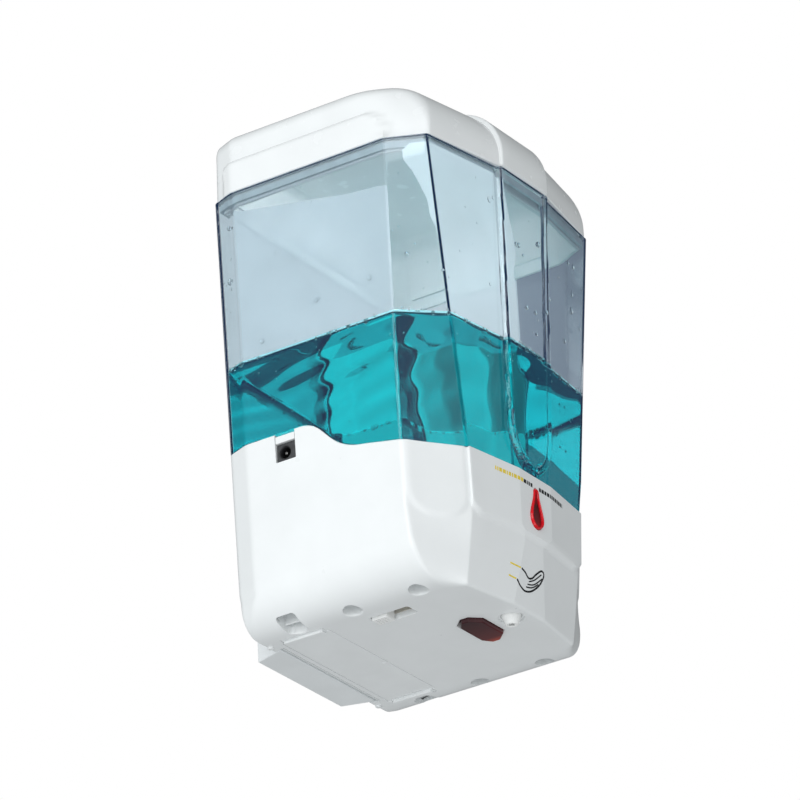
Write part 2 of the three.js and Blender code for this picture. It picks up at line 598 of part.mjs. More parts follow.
function baseScrew(side, y) {
  const seat = POST.top - 3 - GAP;
  const x = side * POST.x;
  const recess = box(x - 0.5, x + 0.5, y - 2.4, y + 2.4, 40, seat - 1.6);
  const cross = box(x - 2.4, x + 2.4, y - 0.5, y + 0.5, 40, seat - 1.6);
  const head = rod(x, y, seat - 2.4, seat, 3.4, 14);
  return cut(sum(head, rod(x, y, seat - 0.1, POST.top + 8, 1.2, 8)), recess, cross);
}

// ---------------------------------------------------------------- electronics
const SENSOR_BOARD = 12;

function controlBoard() {
  const [x, y0, y1, z0, z1] = [-62, -99, -46, 24, 62];
  return box(x - 0.8, x + 0.8, y0, y1, z0, z1);
}

const chip = () => box(-60.9, -59.2, -80, -68, 36, 48);
const capacitor = () => rodX(-60.9, -50.5, -76, 30, 4, 16);
const inductor = () => box(-60.9, -56, -78, -68, 50, 58);

function sensorBoard() {
  return box(-17, 17, -99, -82.4, SENSOR_BOARD, SENSOR_BOARD + 1.4);
}

function infraredDiode(x) {
  const dome = new THREE.SphereGeometry(2.4, 10, 6).rotateX(Math.PI / 2).translate(x, WINDOW.y, 6.6);
  const stem = rod(x, WINDOW.y, 6.6, SENSOR_BOARD - 0.8, 2.4, 10);
  return sum(stem, rod(x, WINDOW.y, 9, SENSOR_BOARD - GAP, 2.9, 12), solid(dome));
}

const indicatorBoard = () => box(-11, 11, -112.4, -111, 32, 62);

function indicatorDiode() {
  return sum(rodY(0, -115.6, -112.7, 47, 2.4, 16), rodY(0, -114, -112.7, 47, 2.9, 16));
}

function switchBody() {
  const { x, y } = SLOT;
  return cut(box(x - 6, x + 6, y - 13.5, y + 13.5, SHELL + GAP, 11),
    box(x - 3.9, x + 3.9, y - 11, y + 11, 0, 8));
}

function switchSlider() {
  const { x, y, halfY } = SLOT;
  const y1 = y + halfY - 0.8;
  return sum(box(x - 3.4, x + 3.4, y1 - 8.4, y1, 0.4, 5), box(x - 3.4, x + 3.4, y1 - 10, y1, 4, 7.6));
}

const jackLead = () => hose([
  [-58.6, -36, 80], [-56.4, -39, 78], [-56.4, -44, 72], [-58.4, -49, 66], [-60.2, -53, 61]], 0.9, 14, 8);
const motorLead = () => hose([
  [-60.2, -66, 27], [-54, -67, 22], [-46, -68, 17], [-38, -67, 13.6], [-30, -65, 12], [-24, MOTOR.y, 11.6],
  [MOTOR.x, MOTOR.y, 12.9]], 0.9, 16, 8);

// ---------------------------------------------------------------- the assembly
const body = new THREE.Group();
body.position.set(0, -BRACKET.back, -ORIGIN_HEIGHT);

function place(name, shape, look) {
  const mesh = new THREE.Mesh(geometryOf(shape), look);
  mesh.name = name;
  body.add(mesh);
}

place('wall_bracket', wallBracket(), white);
place('housing', housing(), white);
place('tank_seat', tankSeat(), white);
place('tank', tank(), clear);
place('soap', soap(), soapGreen);
place('lid', lid(), white);
place('lid_gasket', lidGasket(), seal);
place('battery_door', batteryDoor(), white);
place('jack_insert', jackInsert(), white);
place('jack_body', jackBody(), grey);
place('jack_pin', jackPin(), steel);
place('sensor_window', sensorWindow(), darkRed);
place('indicator_lens', dropLens(), ruby);
place('nozzle', nozzle(), white);
place('nozzle_valve', nozzleValve(), silicone);
place('switch_body', switchBody(), black);
place('switch_slider', switchSlider(), white);
place('battery_case', batteryCase(), white);
for (let i = 0; i < 4; i++) place('battery_' + (i + 1), cell(i), cellBlue);
for (const i of [1, 3]) place('contact_spring_' + (i + 1), contactSpring(i), steel);
place('door_contact_left', doorContact(0), steel);
place('door_contact_right', doorContact(2), steel);
place('pump_housing', pumpHousing(), grey);
place('gear_plate', gearPlate(), grey);
place('rotor', rotor(), gearWhite);
for (let i = 0; i < 3; i++) place('roller_' + (i + 1), roller(i), silicone);
place('rotor_shaft', rod(ROTOR.x, ROTOR.y, 27, 55, 2.2, 16), steel);
place('drive_gear', toothed(ROTOR, GEAR.driveTeeth, 2.5, Math.PI), gearWhite);
place('motor_pinion', toothed(MOTOR, GEAR.pinionTeeth, 1.4, Math.PI / GEAR.pinionTeeth), brass);
place('motor', motor(), steel);
place('motor_shaft', rod(MOTOR.x, MOTOR.y, 40.5, 54, 1.1, 12), steel);
place('pump_tube', pumpTube(), silicone);
POST.rows.forEach((y, row) => {
  place('screw_left_' + (row + 1), baseScrew(-1, y), steel);
  place('screw_right_' + (row + 1), baseScrew(1, y), steel);
});
place('control_board', controlBoard(), boardGreen);
place('control_chip', chip(), black);
place('capacitor', capacitor(), black);
place('power_inductor', inductor(), black);
place('sensor_board', sensorBoard(), boardGreen);
place('infrared_emitter', infraredDiode(-6), clear);
place('infrared_receiver', infraredDiode(6), black);
place('indicator_board', indicatorBoard(), boardGreen);
place('indicator_diode', indicatorDiode(), ruby);
place('jack_lead', jackLead(), black);
place('motor_lead', motorLead(), black);

const part = new THREE.Group();
part.add(body);
export default part;
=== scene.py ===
"""Looks of the wall mounted soap dispenser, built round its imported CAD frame."""

import math
import random

import bmesh
import bpy
import numpy as np
from mathutils import Matrix, Vector


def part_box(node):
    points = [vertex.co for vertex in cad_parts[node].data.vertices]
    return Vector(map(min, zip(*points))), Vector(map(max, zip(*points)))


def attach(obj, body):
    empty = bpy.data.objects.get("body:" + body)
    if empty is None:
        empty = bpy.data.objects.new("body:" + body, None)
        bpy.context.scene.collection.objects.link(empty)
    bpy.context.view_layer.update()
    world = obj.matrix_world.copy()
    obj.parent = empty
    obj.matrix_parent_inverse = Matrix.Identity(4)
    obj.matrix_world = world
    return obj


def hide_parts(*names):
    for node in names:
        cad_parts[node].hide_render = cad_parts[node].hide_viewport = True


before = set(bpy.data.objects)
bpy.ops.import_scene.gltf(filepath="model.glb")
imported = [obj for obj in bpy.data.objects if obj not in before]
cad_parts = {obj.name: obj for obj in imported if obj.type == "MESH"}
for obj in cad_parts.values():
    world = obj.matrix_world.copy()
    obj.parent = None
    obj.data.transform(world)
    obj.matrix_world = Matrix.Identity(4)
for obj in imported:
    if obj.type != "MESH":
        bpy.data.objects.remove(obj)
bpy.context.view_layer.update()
random.seed(11)

# Shapes below are in millimetres in the dispenser's own coordinates: y = 0 is the flat back of the housing
# and z = 0 its underside. place() moves them into the row frame.
ORIGIN = Vector((0.0, -12.5, -42.0))
MM = 0.001
RIM = 220.0
SEAM_BACK, SEAM_FRONT = 89.5, 66.5
FILLET_HEIGHT, FILLET_WIDTH = 21.0, 21.0
SHELL, TANK_WALL, TANK_FLOOR = 2.5, 2.6, 1.0
SOAP_LEVEL = 132.0
LOBE, SIDE_LOBE = 1.6, 0.75     # how far the housing's collar stands out under the tank
TONGUE = 2.4                    # how far the centre panel of the tank stands out
BOTTOM_EDGE = 1.3               # round of the housing's bottom edge
TANK_CENTRE = np.array([0.0, -60.0])
LID_CENTRE = np.array([0.0, -52.0])
WINDOW_Y, WINDOW_REAR, NOZZLE_Y = -89.0, -83.7, -106.0
WELLS = [(s * 53.5, y) for s in (-1, 1) for y in (-23, -54, -90)]
JACK_Y, JACK_Z, JACK_HOLE_Y = -34.7, 80.1, -33.6

# Plan of the body at a few heights: half width and reach of the flat side, the corner beside the front
# facet, and the crease beside the centre panel.
HOUSING_PLAN = [
    (0, 71.2, 101.0, 45.0, 111.3, 13.0, 116.0),
    (34, 72.4, 98.0, 45.0, 116.2, 7.5, 120.9),
    (39, 72.5, 98.0, 45.4, 116.4, 12.8, 121.2),
    (70, 73.6, 97.8, 47.5, 117.1, 13.3, 122.0),
    (94, 74.4, 98.2, 50.8, 117.4, 15.0, 122.4),
]
TANK_PLAN = [
    (60, 73.3, 97.7, 46.5, 117.3, 14.2, 121.6),
    (84, 74.1, 98.0, 50.4, 118.2, 15.4, 121.6),
    (RIM, 78.7, 100.2, 69.5, 119.0, 22.1, 125.7),
    (RIM + 10, 79.0, 100.4, 70.9, 119.0, 22.6, 126.0),
]


# ------------------------------------------------------------------ small maths
def smooth(t):
    """A step from 0 to 1 with soft ends."""
    t = np.clip(t, 0.0, 1.0)
    return t * t * (3 - 2 * t)


def rounded_box_distance(u, v, half_u, half_v, radius):
    """Distance outside a box with round corners, negative inside."""
    qu, qv = np.abs(u) - (half_u - radius), np.abs(v) - (half_v - radius)
    outside = np.hypot(np.maximum(qu, 0), np.maximum(qv, 0))
    return outside + np.minimum(np.maximum(qu, qv), 0) - radius


def seam_height(y):
    """Height of the joint between housing and tank at a depth y."""
    bend = [(-43.0, SEAM_BACK), (-58.0, SEAM_BACK), (-56.0, 73.0), (-78.0, 70.6)]
    t = np.linspace(0, 1, 60)[:, None]
    a, b, c, d = (np.array(p) for p in bend)
    wave = (1 - t) ** 3 * a + 3 * t * (1 - t) ** 2 * b + 3 * t ** 2 * (1 - t) * c + t ** 3 * d
    ys = np.concatenate([[20.0], wave[:, 0], [-92.0, -98.0, -104.0, -140.0]])
    zs = np.concatenate([[SEAM_BACK], wave[:, 1], [67.9, 66.8, SEAM_FRONT, SEAM_FRONT]])
    return np.interp(-np.asarray(y, float), -ys, zs)


# ------------------------------------------------------------------ plans and lofted skins
def plan_at(table, z):
    """The measures of a plan table at height z."""
    rows = np.array(table, float)
    return [float(np.interp(z, rows[:, 0], rows[:, k])) for k in range(1, rows.shape[1])]


def plan_corners(table, z, soft=1.0):
    """Corners (x, y, radius) of the right half at height z, from front centre to back centre."""
    side, side_y, corner_x, corner_y, crease_x, crease_y = plan_at(table, z)
    rise = max(0.0, 1 - z / FILLET_HEIGHT)
    width = side - FILLET_WIDTH * (1 - math.sqrt(1 - rise ** 2))
    back = min(1.0, 0.12 + 0.06 * z)
    return [
        (0.0, -crease_y, 0.0),
        (crease_x, -crease_y, 1.2 * soft),
        (corner_x, -corner_y, 3.0 * soft),
        (width, -side_y, 3.2 * soft),
        (width, -13.0 * back, 9.0 * back),
        (width - 5.0 * back, 0.0, 4.0 * back),
        (0.0, 0.0, 0.0),
    ]


def inset(corners, distance):
    """Moves every edge of the half plan inwards; the ends stay on the centre line."""
    points = [Vector(c[:2]) for c in corners]
    normals = []
    for a, b in zip(points, points[1:]):
        d = (b - a).normalized()
        normals.append(Vector((-d.y, d.x)))
    moved = []
    for i, p in enumerate(points):
        m = normals[max(i - 1, 0)]
        n = normals[min(i, len(normals) - 1)]
        k = distance / (1 + m.dot(n))
        q = p + (m + n) * k
        x = 0.0 if i in (0, len(points) - 1) else q.x
        moved.append((x, q.y, max(0.5, corners[i][2] - distance) if corners[i][2] else 0.0))
    return moved


ARC = (0, 5, 7, 7, 7, 5, 0)             # points on each corner


def ring(corners, cuts):
    """Closed loop of plan points with the same layout at every height, front centre first, seen from above
    anticlockwise. cuts is the number of divisions of each straight edge."""
    points = [Vector(c[:2]) for c in corners]
    stops = [[points[0]]]
    for i in range(1, len(points) - 1):
        p, radius = points[i], corners[i][2]
        a, b = points[i - 1] - p, points[i + 1] - p
        half = math.acos(max(-1.0, min(1.0, a.normalized().dot(b.normalized())))) / 2
        tangent = radius / max(math.tan(half), 1e-3) if half < 1.5707 else 0.0
        reach = max(0.02, min(tangent, 0.45 * a.length, 0.45 * b.length))
        start, end = p + a.normalized() * reach, p + b.normalized() * reach
        steps = [k / (ARC[i] - 1) for k in range(ARC[i])]
        stops.append([start * (1 - t) ** 2 + p * (2 * t * (1 - t)) + end * t ** 2 for t in steps])
    stops.append([points[-1]])
    loop = []
    for i, corner in enumerate(stops):
        loop.extend(corner)
        if i + 1 < len(stops):
            a, b, n = corner[-1], stops[i + 1][0], cuts[i]
            loop.extend(a.lerp(b, k / n) for k in range(1, n))
    half = np.array([tuple(p) for p in loop])
    left = half[-2:0:-1] * np.array([-1.0, 1.0])
    return np.vstack([half, left])


def between(rings, heights, z):
    """Plan points of one loop, each at its own height z, from rings at evenly spaced heights."""
    at = np.clip((z - heights[0]) / (heights[1] - heights[0]), 0, len(heights) - 1.001)
    low = at.astype(int)
    share = (at - low)[:, None]
    index = np.arange(rings.shape[1])
    return rings[low, index] * (1 - share) + rings[low + 1, index] * share


def outwards(grid):
    """Directions, level with the ground, that point out of a skin of loops."""
    around = np.roll(grid, -1, 1) - np.roll(grid, 1, 1)
    normal = np.stack([around[..., 1], -around[..., 0]], -1)
    return normal / np.maximum(np.linalg.norm(normal, axis=-1, keepdims=True), 1e-9)


def level(flat, z):
    """A loop of plan points at one height, or at a height for each point."""
    return np.column_stack([flat, np.broadcast_to(z, len(flat))])


def skin_faces(rows, columns, start=0):
    """Quads between loops of points that stand one after another."""
    faces = []
    for r in range(rows - 1):
        for c in range(columns):
            a, b = start + r * columns + c, start + r * columns + (c + 1) % columns
            faces.append((a, b, b + columns, a + columns))
    return faces


def cap(points, loop_start, columns, up, rungs=1, rise=None):
    """Caps a loop: rungs run across from right to left, divided so that the cap can be shaped. points is a
    list that new points are added to; rise(x, y, z) gives a new height."""
    half = columns // 2
    base = np.array(points[loop_start:loop_start + columns])
    front = max(i for i in range(half) if abs(base[i][1] - base[0][1]) < 1e-4)
    back = min(i for i in range(1, half + 1) if abs(base[i][1] - base[half][1]) < 1e-4)
    rows = []
    for i in range(front, back + 1):
        row = [loop_start + i]
        if front < i < back:
            a, b = base[i], base[columns - i]
            for k in range(1, rungs):
                p = a + (b - a) * (k / rungs)
                points.append((p[0], p[1], rise(*p)))
                row.append(len(points) - 1)
        rows.append(row + [loop_start + (columns - i) % columns])
    rows[0] = [loop_start + i % columns for i in range(front, -front - 1, -1)]
    rows[-1] = [loop_start + i for i in range(back, columns - back + 1)]
    faces = []
    for near, far in zip(rows, rows[1:]):
        if len(near) == len(far) == rungs + 1 and near is not rows[0] and far is not rows[-1]:
            quads = [(near[k], far[k], far[k + 1], near[k + 1]) for k in range(rungs)]
        else:
            quads = [tuple(near[::-1]) + tuple(far)]
        faces.extend(q if up else q[::-1] for q in quads)
    return faces


def from_bmesh(bm, name="solid"):
    """An object from a bmesh, which is used up, with its faces turned outwards."""
    bmesh.ops.recalc_face_normals(bm, faces=bm.faces)
    mesh = bpy.data.meshes.new(name)
    bm.to_mesh(mesh)
    bm.free()
    made = bpy.data.objects.new(name, mesh)
    bpy.context.scene.collection.objects.link(made)
    return made


def solid(name, points, faces, weld=0.0):
    """A mesh object in millimetres; points closer than weld become one."""
    raw = bpy.data.meshes.new(name)
    raw.from_pydata([tuple(p) for p in points], [], faces)
    bm = bmesh.new()
    bm.from_mesh(raw)
    bpy.data.meshes.remove(raw)
    if weld:
        bmesh.ops.remove_doubles(bm, verts=bm.verts, dist=weld)
    return from_bmesh(bm, name)


def skinned(name, loops, joined=False):
    """A solid through loops of the same layout, with flat ends or, when joined, closed into a hoop."""
    points = [tuple(p) for loop in loops for p in loop]
    n, last = len(loops[0]), len(points) - len(loops[0])
    faces = skin_faces(len(loops), n)
    if joined:
        faces += [(last + c, last + (c + 1) % n, (c + 1) % n, c) for c in range(n)]
    else:
        faces += [tuple(range(n))[::-1], tuple(range(last, last + n))]
    return solid(name, points, faces)


def capped(name, loops, rungs=1, rise=None):
    """A solid through loops of plan points, with a cap across both ends."""
    points = [tuple(p) for loop in loops for p in loop]
    columns, last = len(loops[0]), len(points) - len(loops[0])
    faces = skin_faces(len(loops), columns) + cap(points, 0, columns, up=False)
    return solid(name, points, faces + cap(points, last, columns, up=True, rungs=rungs, rise=rise))


# ------------------------------------------------------------------ simple solids, in millimetres
def round_edges(bm, radius, segments):
    """Rounds every edge that is sharper than 30 degrees."""
    least = math.radians(30)
    edges = [e for e in bm.edges if len(e.link_faces) == 2 and e.calc_face_angle(0) > least]
    if radius > 0 and edges:
        bmesh.ops.bevel(bm, geom=edges, offset=radius, segments=segments, profile=0.5, affect="EDGES",
                        clamp_overlap=True)


# Where the two numbers of an outline and the depth along the axis go.
TURN = {
    "z": lambda u, v, w: (u, v, w),
    "y": lambda u, v, w: (u, w, v),
    "x": lambda u, v, w: (w, u, v),
}


def prism(outline, low, high, axis="z", radius=0.0, segments=3):
    """A flat outline pulled from low to high along an axis; its two numbers are placed by TURN."""
    bm = bmesh.new()
    near, far = ([bm.verts.new(TURN[axis](u, v, w)) for u, v in outline] for w in (low, high))
    n = len(outline)
    bm.faces.new(near)
    bm.faces.new(far[::-1])
    for i in range(n):
        bm.faces.new((near[i], near[(i + 1) % n], far[(i + 1) % n], far[i]))
    bmesh.ops.recalc_face_normals(bm, faces=bm.faces)
    round_edges(bm, radius, segments)
    return from_bmesh(bm)


def block(x0, x1, y0, y1, z0, z1, radius=0.0, segments=3):
    return prism([(x0, y0), (x1, y0), (x1, y1), (x0, y1)], z0, z1, "z", radius, segments)


def across(side, x0, x1, y0, y1, z0, z1, radius=0.0):
    """A block on one side of the body, measured from the middle."""
    return block(min(side * x0, side * x1), max(side * x0, side * x1), y0, y1, z0, z1, radius)


def lathe(profile, centre=(0, 0, 0), axis="z", sides=40):
    """A closed profile of (radius, height) turned round an axis through centre."""
    bm = bmesh.new()
    rows = []
    for radius, height in profile:
        row = []
        for k in range(1 if radius < 1e-6 else sides):
            angle = 2 * math.pi * k / sides
            p = TURN[axis](radius * math.cos(angle), radius * math.sin(angle), height)
            row.append(bm.verts.new(Vector(p) + Vector(centre)))
        rows.append(row)
    for near, far in zip(rows, rows[1:] + rows[:1]):
        if len(near) == len(far) == 1:
            continue
        for k in range(sides):
            j = (k + 1) % sides
            if len(near) == 1:
                bm.faces.new((near[0], far[k], far[j]))
            elif len(far) == 1:
                bm.faces.new((near[k], near[j], far[0]))
            else:
                bm.faces.new((near[k], near[j], far[j], far[k]))
    return from_bmesh(bm)


def combine(base, tools, operation):
    """Boolean of a solid with other solids, which are used up."""
    for tool in tools:
        change = base.modifiers.new("change", "BOOLEAN")
        change.operation, change.solver, change.object = operation, "MANIFOLD", tool
        graph = bpy.context.evaluated_depsgraph_get()
        mesh = bpy.data.meshes.new_from_object(base.evaluated_get(graph))
        base.modifiers.clear()
        base.data = mesh
        bpy.data.objects.remove(tool)
    return base


def cut(base, *tools):
    return combine(base, tools, "DIFFERENCE")


def join(base, *others):
    return combine(base, others, "UNION")


def gather(first, *others):
    """Several separate solids as one mesh."""
    bm = bmesh.new()
    for one in (first, *others):
        bm.from_mesh(one.data)
    bm.to_mesh(first.data)
    bm.free()
    for one in others:
        bpy.data.objects.remove(one)
    return first


def place(piece, name, body, material, stands_for=(), sharp=32):
    """Names a solid, moves it into the row frame and hands it to its body."""
    mesh = piece.data
    points = np.zeros(len(mesh.vertices) * 3, np.float32)
    mesh.vertices.foreach_get("co", points)
    points = (points.reshape(-1, 3) + np.array(ORIGIN, np.float32)) * MM
    mesh.vertices.foreach_set("co", points.ravel())
    mesh.update()
    mesh.shade_smooth()
    mesh.set_sharp_from_angle(angle=math.radians(sharp))
    for face in mesh.polygons:
        if face.normal.z < -0.99999:
            face.use_smooth = False
    mesh.materials.clear()
    mesh.materials.append(material)
    piece.name = mesh.name = name
    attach(piece, body)
    if stands_for:
        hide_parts(*stands_for)
    return piece


# ------------------------------------------------------------------ materials
def fill(tree, node, values):
    """Sets a node's inputs, by name or number, to values or to the sockets that drive them."""
    for key, value in values.items():
        if isinstance(value, bpy.types.NodeSocket):
            tree.links.new(value, node.inputs[key])
        else:
            node.inputs[key].default_value = value
    return node


def add_node(tree, kind, values):
    return fill(tree, tree.nodes.new("ShaderNode" + kind), values)


def shade(name, color, roughness, metallic=0.0, variation=0.05, scale=90.0, bump=0.12, grain=900.0,
          transmission=0.0, ior=1.45, coat=0.0, subsurface=0.0):
    """A finish with a slow drift of colour, uneven gloss and a fine surface texture."""
    made = bpy.data.materials.new(name)
    made.use_nodes = True
    tree = made.node_tree
    where = tree.nodes.new("ShaderNodeTexCoord").outputs["Object"]

    def noise(size, detail=4.0):
        return add_node(tree, "TexNoise", {"Vector": where, "Scale": size, "Detail": detail}).outputs["Fac"]

    ramp = add_node(tree, "ValToRGB", {"Fac": noise(scale)})
    for element, at, share in zip(ramp.color_ramp.elements, (0.3, 0.7), (1 - variation, 1 + variation)):
        element.position = at
        element.color = (*[min(1.0, c * share) for c in color], 1)
    gloss = add_node(tree, "MapRange", {"Value": noise(scale * 2.5), "To Min": roughness * 0.82,
                                        "To Max": roughness * 1.18})
    relief = add_node(tree, "Bump", {"Height": noise(grain, 2.0), "Strength": bump, "Distance": 0.00008})
    fill(tree, tree.nodes["Principled BSDF"], {
        "Base Color": ramp.outputs["Color"], "Roughness": gloss.outputs["Result"],
        "Normal": relief.outputs["Normal"], "Metallic": metallic, "Transmission Weight": transmission,
        "IOR": ior, "Coat Weight": coat, "Subsurface Weight": subsurface, "Subsurface Scale": 0.002})
    return made


def add_painted_glow(material, color, strength, alpha=1.0):
    """Adds painted light to a finish: a faint glow that stands in for light scattered inside clear plastic
    and in mist.
    """
    fill(material.node_tree, material.node_tree.nodes["Principled BSDF"],
         {"Emission Color": (*color, 1), "Emission Strength": strength, "Alpha": alpha})
    return material


def absorb(material, color, density):
    """Colours light by how far it travels inside."""
    tree = material.node_tree
    inside = add_node(tree, "VolumeAbsorption", {"Color": (*color, 1), "Density": density})
    fill(tree, tree.nodes["Material Output"], {"Volume": inside.outputs["Volume"]})
    return material


def striped(material, axis, levels):
    """Replaces a finish's colour by bands of colour along an axis; levels are (place in metres, colour).
    The bands are print on the cells and painted light on the sensor window and the drop lens.
    """
    tree = material.node_tree
    where = tree.nodes.new("ShaderNodeTexCoord").outputs["Object"]
    split = add_node(tree, "SeparateXYZ", {"Vector": where})
    low, high = levels[0][0], levels[-1][0]
    span = add_node(tree, "MapRange", {"Value": split.outputs[axis], "From Min": low, "From Max": high})
    ramp = add_node(tree, "ValToRGB", {"Fac": span.outputs["Result"]})
    elements = ramp.color_ramp.elements
    while len(elements) < len(levels):
        elements.new(0.5)
    for element, (at, color) in zip(elements, levels):
        element.position = (at - low) / (high - low)
        element.color = (*color, 1)
    speckle = add_node(tree, "TexNoise", {"Vector": where, "Scale": 500})
    mix = tree.nodes.new("ShaderNodeMix")
    mix.data_type, mix.blend_type = "RGBA", "MULTIPLY"
    fill(tree, mix, {"Factor": 0.12, 6: ramp.outputs["Color"], 7: speckle.outputs["Color"]})
    fill(tree, tree.nodes["Principled BSDF"], {"Base Color": mix.outputs[2]})
    return material


WHITE = shade("white_shell", (0.86, 0.885, 0.89), 0.30, variation=0.02, scale=40, bump=0.10, grain=1400,
              coat=0.15)
LID_WHITE = shade("lid_white", (0.87, 0.895, 0.90), 0.26, variation=0.02, scale=45, bump=0.08, grain=1300,
                  coat=0.2)
DOOR_WHITE = shade("door_white", (0.84, 0.865, 0.87), 0.42, variation=0.025, scale=60, bump=0.35,
                   grain=2200)
BRACKET_WHITE = shade("bracket_white", (0.82, 0.85, 0.86), 0.4, variation=0.03, scale=50, bump=0.25,
                      grain=1500)
KNOB_WHITE = shade("knob_white", (0.9, 0.91, 0.9), 0.35, variation=0.02, scale=200, bump=0.15, grain=2500)
CASE_WHITE = shade("case_white", (0.8, 0.82, 0.82), 0.45, variation=0.04, scale=80, bump=0.3, grain=1800)
# The clear tank's faint blue glow is painted light: it tints the dark edges of the walls blue.
CLEAR_TANK_WITH_PAINTED_GLOW = add_painted_glow(shade("clear_tank", (0.88, 0.955, 0.985), 0.015, variation=0.012, scale=25, bump=0.15,
                      grain=24, transmission=1.0, ior=1.49), (0.02, 0.16, 0.55), 0.016)
# The mist finishes are a real haze, and their glow is painted light that brightens the tank wall where the
# film lies.
MIST_WITH_PAINTED_GLOW = add_painted_glow(shade("mist", (0.80, 0.86, 0.88), 0.35, variation=0.06, scale=35, bump=0.3, grain=500),
               (0.84, 0.93, 1.0), 0.17, 0.54)
FAINT_MIST_WITH_PAINTED_GLOW = add_painted_glow(shade("faint_mist", (0.80, 0.88, 0.90), 0.35, variation=0.08, scale=30, bump=0.3,
                           grain=500), (0.90, 0.97, 1.0), 0.42, 0.44)
SOAP = absorb(shade("teal_soap", (0.62, 0.99, 0.995), 0.01, variation=0.01, scale=30, bump=0.02, grain=70,
                    transmission=1.0, ior=1.36), (0.01, 0.975, 0.976), 80.0)
FOAM = shade("foam", (0.9, 0.98, 0.99), 0.05, variation=0.02, scale=300, bump=0.05, transmission=0.85,
             ior=1.18)
WATER = shade("droplets", (0.97, 0.99, 1.0), 0.01, variation=0.01, scale=200, bump=0.02, transmission=1.0,
              ior=1.33)
SEAL = shade("seal_rubber", (0.72, 0.79, 0.81), 0.5, variation=0.08, scale=150, bump=0.4, grain=1500)
BLACK = shade("black_plastic", (0.022, 0.023, 0.026), 0.42, variation=0.2, scale=150, bump=0.4, grain=2500)
JACK_FACE = shade("jack_face", (0.06, 0.062, 0.066), 0.38, variation=0.15, scale=300, bump=0.4, grain=3500)
CHIP = shade("chip_resin", (0.03, 0.03, 0.033), 0.6, variation=0.25, scale=500, bump=0.6, grain=5000)
BEIGE = shade("beige_plastic", (0.5, 0.48, 0.43), 0.5, variation=0.06, scale=110, bump=0.35, grain=1700)
GREY = shade("grey_plastic", (0.27, 0.285, 0.3), 0.48, variation=0.06, scale=110, bump=0.35, grain=1700)
STEEL = shade("steel", (0.6, 0.61, 0.62), 0.28, metallic=1.0, variation=0.08, scale=300, bump=0.35,
              grain=2400)
PLATED = shade("plated_steel", (0.68, 0.68, 0.66), 0.2, metallic=1.0, variation=0.06, scale=600, bump=0.2)
BRASS = shade("brass", (0.66, 0.47, 0.17), 0.26, metallic=1.0, variation=0.1, scale=400, bump=0.25)
GEAR = shade("gear_nylon", (0.79, 0.76, 0.66), 0.42, variation=0.05, scale=140, bump=0.3, grain=1600,
             subsurface=0.05)
SILICONE = shade("silicone", (0.74, 0.76, 0.75), 0.45, variation=0.05, scale=120, bump=0.2, subsurface=0.15)
WIRE = shade("wire_sleeve", (0.02, 0.02, 0.022), 0.5, variation=0.3, scale=400, bump=0.3)
INK = shade("black_ink", (0.012, 0.014, 0.016), 0.5, variation=0.3, scale=900, bump=0.4, grain=5000)
GOLD_INK = shade("gold_ink", (0.86, 0.66, 0.05), 0.4, variation=0.15, scale=900, bump=0.4, grain=5000)
RIM_RED = shade("rim_red", (0.78, 0.008, 0.018), 0.14, variation=0.08, scale=300, bump=0.08, coat=0.5)
DIODE_RED = shade("diode_red", (0.5, 0.02, 0.03), 0.15, variation=0.1, scale=400, transmission=0.6)
BOARD = shade("green_board", (0.02, 0.13, 0.065), 0.35, variation=0.35, scale=260, bump=0.8, grain=700,
              coat=0.4)
# The sensor window's bands are painted light: painted shade at its left end, rising to a bright red painted
# highlight at its right end.
WINDOW_RED_WITH_PAINTED_LIGHT = striped(shade("window_red", (0.1, 0.02, 0.02), 0.3, bump=0.05), "X", [
    (-0.0135, (0.060, 0.016, 0.020)), (0.0, (0.105, 0.022, 0.026)), (0.009, (0.15, 0.03, 0.032)),
    (0.0138, (0.55, 0.08, 0.04))])
# The drop lens's bands are painted light: painted highlights at its bottom and top, with painted shade
# between, darkest near the middle.
LENS_RED_WITH_PAINTED_LIGHT = striped(shade("lens_red", (0.5, 0.01, 0.02), 0.12, coat=0.5, bump=0.05), "Z", [
    (-0.002, (0.5, 0.008, 0.014)), (0.003, (0.2, 0.003, 0.006)), (0.010, (0.10, 0.002, 0.004)),
    (0.019, (0.5, 0.01, 0.02))])


# ------------------------------------------------------------------ housing
HOUSING_CUTS = (16, 44, 30, 60, 14, 24)


def housing_ring(z):
    """The housing's outline at height z, drawn in near its round bottom edge."""
    corners = plan_corners(HOUSING_PLAN, z)
    if z < BOTTOM_EDGE:
        corners = inset(corners, BOTTOM_EDGE - math.sqrt(BOTTOM_EDGE ** 2 - (BOTTOM_EDGE - z) ** 2))
    return ring(corners, HOUSING_CUTS)


def housing_skin():
    """Loops of the housing from its underside up to the seam, with the collar raised under the tank."""
    heights = [0.0, 0.12, 0.35, 0.7, 1.2, 1.9, 2.8, 4.0, 5.4, 7.0] + [8.6 + 1.6 * k for k in range(8)]
    heights += [21.2 + 1.1 * k for k in range(36)]
    loops = [level(housing_ring(z), z) for z in heights]
    seam = seam_height(housing_ring(72.0)[:, 1])
    upper = np.arange(58.0, 94.5, 1.0)
    rings = np.stack([housing_ring(z) for z in upper])
    steps = 14
    for k in range(1, steps + 1):
        z = heights[-1] + (seam - heights[-1]) * (k / steps)
        loops.append(level(between(rings, upper, z), z))
    return raise_collar(np.stack(loops))


